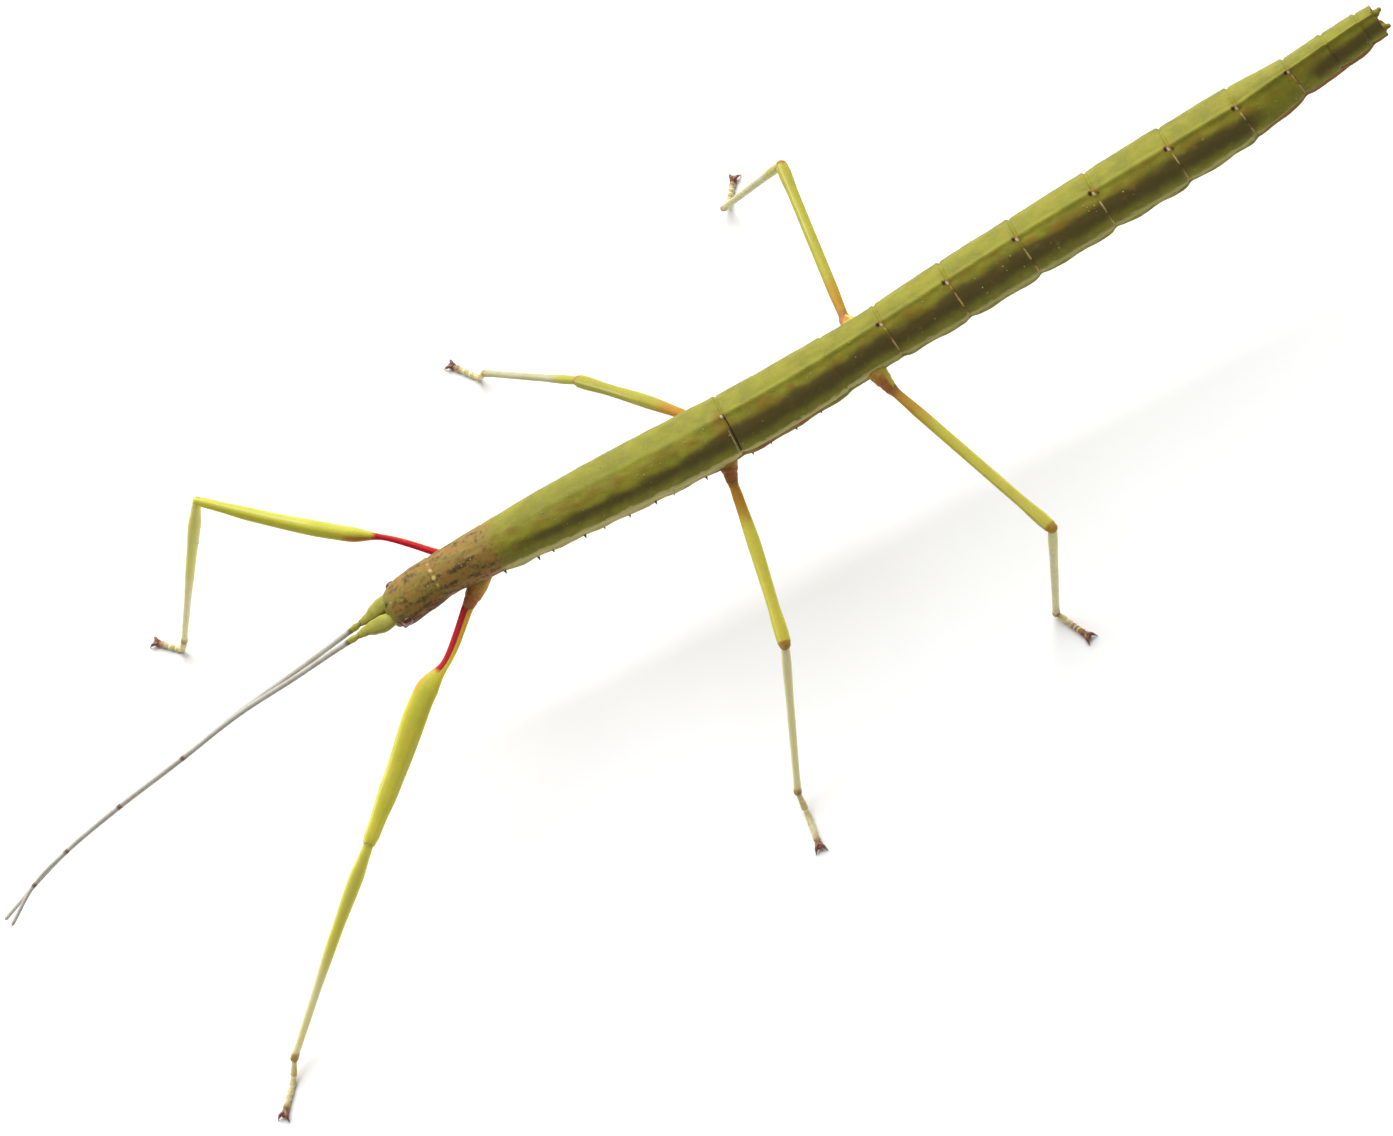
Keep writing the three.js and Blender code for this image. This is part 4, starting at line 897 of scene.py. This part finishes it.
# Their two stout base joints are as green as the body, brown towards the thread.
scapeFinish = finishOf("satinCuticleScape", ("a49e36", "938f34", 0.7), 0.55,
                       [("rust", "7d6a3a", 0.3, 0.9, 0.3, 0.4), ("keelPale", "aead56", 0.5, 1.3, 0.3, 0.3)],
                       ("9f9f60", 0.12, 0.3), (0.02, 0.08), glow=0.3)
threadSizes = {"Ring spacing": 0.62 * mm, "Ring width": 0.24 * mm, "Ring swell": 1.07}
threadTree = ringedThreadTree(threadSizes, feelerFinish)
for side, hand in ((-1, "left"), (1, "right")):
    path = smoothPath(feeler[hand])
    total = path[1][-1]
    scapeEnd = feeler["root"] + feeler["scape"]
    pedicelEnd = scapeEnd + feeler["pedicel"]
    middles = onPath(path, np.linspace(0, scapeEnd, 5))[0]
    middles[:4] -= rightWay * side * feeler["scapeInward"]
    part = gather([limbSkin(middles, feeler["scapeWidths"], flat=0.75, spans=50, keel=0.03),
                   limbSkin(onPath(path, np.linspace(scapeEnd, pedicelEnd, 4))[0], feeler["pedicelWidths"],
                            spans=24)])
    run, inner, edge = runInnerEdge(part)
    part[2]["rust"] = ramp(run, 0.85, 1) * 0.8
    # painted glow: the keels are painted pale for the light that shines through them
    part[2]["keelPale"] = ramp(edge, 0, 1)
    addPiece("scapeSkin_" + hand, part, scapeFinish, "scape", "scape_" + hand, "pedicel_" + hand)

    run = np.linspace(pedicelEnd - 0.05, total, 260)
    line, _ = onPath(path, run)
    share = (run - run[0]) / (run[-1] - run[0])
    nearTip = np.clip((run - total + feeler["tip"]) / feeler["tip"], 0, 1)
    thick = alongPairs(feeler["thick"], share) * np.sqrt(np.clip(1 - nearTip**2, 0.02, 1)) * mm
    stains = [0.9 * hump(run, k - feeler["stainLag"][hand], 0.24) for k in feeler["stains"]]
    stain = np.max(stains + [0.8 * hump(run, run[0], 0.4)], axis=0)
    steps = [(i, i + 1) for i in range(len(line) - 1)]
    base = addMesh("feelerLine", line, steps, [], {"thick": thick, "stain": stain})
    thread = grown("feelerThread_" + hand, base, threadTree, threadSizes)
    bpy.data.objects.remove(base)
    finishPiece(thread, "feeler", "feeler_base_" + hand, "feeler_tip_" + hand)
print("feelers: 2")


# Grains on the back are pale, waxy dots.
grains = {"Grains per square mm": 0.5, "Width": 0.045 * mm, "Seed": 7}
grainFinish = finishOf("satinCuticleGrain", ("a8a566", "8a8548", 0.3), 0.5, [], ("c4c090", 0.05, 0.3),
                       (0.005, 0.05))
grainPiece = grown("backGrains", trunkPiece, grainTree(grains, grainFinish), grains)
finishPiece(grainPiece, "back")
finishPiece(trunkPiece, "back", "head", *[ring[0] for ring in trunk["rings"]])

# Small knobs stand along the side margins of the long thorax plates.
knobs = {"spacing": 1.8, "from": 8.8, "to": 34.0, "drop": 0.37, "width": 0.15, "length": 0.34, "inside": 0.4,
         "sides": 10}
knobSizes = {"Width": knobs["width"] * mm, "Length": knobs["length"] * mm, "Unevenness": 0.3, "Seed": 5}
points, ways = [], []
for side in (-1, 1):
    for k, station in enumerate(np.arange(knobs["from"], knobs["to"], knobs["spacing"])):
        station = station + 0.35 * math.sin(k * 2.7 + side)
        at, ahead, across, up = spineSpot(station)
        turn = -knobs["drop"] - math.radians(4 * math.sin(k * 1.9))
        out, high = trunkRing(np.array([station]), np.array([turn]))
        way = unit(across * side * math.cos(turn) + up * math.sin(turn))
        points.append(at + across * side * out[0] + up * high[0] - way * knobs["length"] * knobs["inside"])
        ways.append(way)
base = addMesh("knobRoots", points, [], [], {"lean": ways})
# Knobs are dark olive-brown and dull.
knobFinish = finishOf("satinCuticleKnob", ("6b642f", "54472a", 0.4), 0.5, [], ("8d8748", 0.06, 0.3),
                      (0.01, 0.05))
knobPiece = grown("marginKnobs", base, standingTree(knobSizes, knobFinish, knobs["sides"]), knobSizes)
bpy.data.objects.remove(base)
finishPiece(knobPiece, "back")
print("grains and knobs done")


# The view, in degrees and mm; focal is in picture widths of wide pixels at the target.
view = {"elevation": 61.8, "azimuth": 6.6, "roll": -34.29, "target": (-18.38, -5.93, 10.0), "distance": 450.0,
        "focal": 14.731, "wide": 1393}
e, a, r = (math.radians(view[key]) for key in ("elevation", "azimuth", "roll"))
back = Vector((math.sin(a) * math.cos(e), -math.cos(a) * math.cos(e), math.sin(e)))
levelWay = Vector((math.cos(a), math.sin(a), 0))
overWay = back.cross(levelWay)
rightOfView = levelWay * math.cos(r) + overWay * math.sin(r)
upOfView = levelWay * -math.sin(r) + overWay * math.cos(r)
camera = link("viewCamera", bpy.data.cameras.new("viewCamera"))
eyePoint = (Vector(view["target"]) + Vector(ground)) * mm + back * view["distance"] * mm
turned = Matrix((rightOfView, upOfView, back)).transposed().to_4x4()
camera.matrix_world = Matrix.Translation(eyePoint) @ turned
camera.data.sensor_width = 36.0
camera.data.lens = camera.data.sensor_width * view["focal"] * view["distance"] / view["wide"]
camera.data.clip_start = 0.01
camera.data.clip_end = 10.0
bpy.context.scene.camera = camera

floorMesh = bpy.data.meshes.new("floor")
floorMesh.from_pydata([(-2, -2, 0), (2, -2, 0), (2, 2, 0), (-2, 2, 0)], [], [(0, 1, 2, 3)])
floor = link("floor", floorMesh)
floorFinish = bpy.data.materials.new("paleMattePaper")  # uncoated paper, even and without highlights
floorFinish.use_nodes = True
paper = floorFinish.node_tree.nodes["Principled BSDF"].inputs
paper["Base Color"].default_value = (0.96, 0.96, 0.96, 1)
paper["Roughness"].default_value = 0.9
floorMesh.materials.append(floorFinish)

lightSet = {"lampPlace": (0.03, 0.61, 0.66), "lampSize": 1.0, "lampPower": 16.5, "roomLight": 0.25,
            "roomSeen": 1.0}
world = bpy.data.worlds.new("softRoom")
bpy.context.scene.world = world
world.use_nodes = True
room = world.node_tree
# the room looks white and lights only weakly
seen = addNode(room, "ShaderNodeLightPath").outputs["Is Camera Ray"]
level = addNode(room, "ShaderNodeMapRange", {3: lightSet["roomLight"], 4: lightSet["roomSeen"]}, {0: seen})
room.nodes["Background"].inputs["Color"].default_value = (1, 1, 1, 1)
room.links.new(level.outputs[0], room.nodes["Background"].inputs["Strength"])
lamp = link("keyLamp", bpy.data.lights.new("keyLamp", "AREA"))
lamp.data.size = lightSet["lampSize"]
lamp.data.energy = lightSet["lampPower"]
lamp.location = lightSet["lampPlace"]
lamp.rotation_euler = (-Vector(lightSet["lampPlace"])).to_track_quat("-Z", "Y").to_euler()
bpy.context.scene.view_settings.view_transform = "Standard"
print("stage ready")
